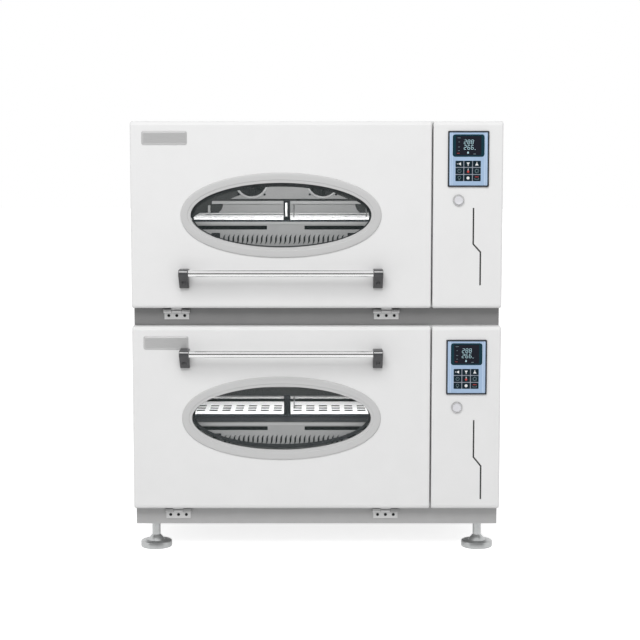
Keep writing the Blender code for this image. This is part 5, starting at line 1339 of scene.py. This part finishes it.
inlet_plastic = finish("black_thermoset_plastic", "#232324", 0.40, bump=(0.8, 0.02))
pin_metal = finish("nickel_plated_brass", "#B9B4A6", 0.28, 0.9, sheen=(0.22, 0.34, 2))


def turned_back(piece, x, y, z):
    """Turns a piece that faces -Y so that it faces +Y, and puts its origin at the place."""
    piece.rotation_euler.z = math.pi
    piece.location = (x, y, z)
    return piece


for module in MODULES:
    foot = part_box(f"{module}_plinth")[0].z
    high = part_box(f"{module}_cabinet_shell")[1]
    across = centre_of(f"{module}_duct_panel").x
    cover = flat_plate(COVER_WIDTH, COVER_HEIGHT, COVER_CORNER, COVER_DEPTH, (0, 0, 0))
    pick_faces(cover)
    bpy.ops.mesh.inset(thickness=COVER_BEVEL, depth=COVER_BEVEL_RISE)
    bpy.ops.object.mode_set(mode="OBJECT")
    smooth(cover)
    turned_back(cover, across, high.y, foot + COVER_RISE)
    settle(cover, f"{module}_fan_motor_cover", white_coat, "cabinet")
    places = [(side * (high.x - BACK_SCREW_INSET), high.y, foot + rise)
              for side in (-1, 1) for rise in BACK_SCREW_RISES]
    places += [
        (across + side * (COVER_WIDTH / 2 - COVER_SCREW_INSET), high.y + COVER_DEPTH,
         foot + COVER_RISE + up * (COVER_HEIGHT / 2 - COVER_SCREW_INSET))
        for side in (-1, 1) for up in (-1, 1)
    ]
    for i, spot in enumerate(places):
        screw = turned_back(socket_screw(BACK_SCREW_RADIUS, BACK_SCREW_HEIGHT), *spot)
        settle(screw, f"{module}_back_screw_{i + 1}", black_screw, "cabinet")

    inlet_x, inlet_z = high.x - INLET_INSET, foot + INLET_RISE
    flange = flat_plate(FLANGE_WIDTH, FLANGE_HEIGHT, FLANGE_CORNER, FLANGE_DEPTH, (0, 0, 0))
    well_size = (INLET_WIDTH - INLET_FIT, INLET_DEPTH - INLET_FIT, INLET_HEIGHT - INLET_FIT)
    combine(flange, block(well_size, (0, INLET_DEPTH / 2 - 2 * INLET_FIT, 0)), "UNION")
    bpy.ops.mesh.primitive_cube_add(size=1, location=(0, INLET_DEPTH / 2 - INLET_WALL - FLANGE_DEPTH, 0))
    hollow = bpy.context.object
    hollow.scale = (INLET_WIDTH - 2 * INLET_WALL, INLET_DEPTH + FLANGE_DEPTH, INLET_HEIGHT - 2 * INLET_WALL)
    modify(hollow, "BEVEL", width=HOLLOW_ROUND, segments=2, limit_method="ANGLE")
    combine(flange, hollow)
    smooth(flange)
    turned_back(flange, inlet_x, high.y, inlet_z)
    settle(flange, f"{module}_mains_inlet", inlet_plastic, "cabinet")
    for i, (x, z) in enumerate(INLET_PIN_PLACES):
        blade = block((INLET_PIN_SIZE[0], INLET_DEPTH - INLET_PIN_INSET, INLET_PIN_SIZE[1]),
                      (inlet_x + x * MM, high.y - (INLET_DEPTH + INLET_PIN_INSET) / 2, inlet_z + z * MM))
        ease(blade, INLET_PIN_ROUND, 2)
        settle(blade, f"{module}_inlet_pin_{i + 1}", pin_metal, "cabinet")
    for i, side in enumerate((-1, 1)):
        screw = turned_back(socket_screw(FLANGE_SCREW_RADIUS, FLANGE_SCREW_HEIGHT),
                            inlet_x + side * FLANGE_SCREW_SPACING, high.y + FLANGE_DEPTH, inlet_z)
        settle(screw, f"{module}_inlet_screw_{i + 1}", black_screw, "cabinet")


# Door seals
# A ring of black silicone, clipped round the back of each door.

rubber = finish("black_silicone_seal", "#2A2A2A", 0.62, bump=(1, 0.02))
dress(rubber, "door_gasket")

low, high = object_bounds()
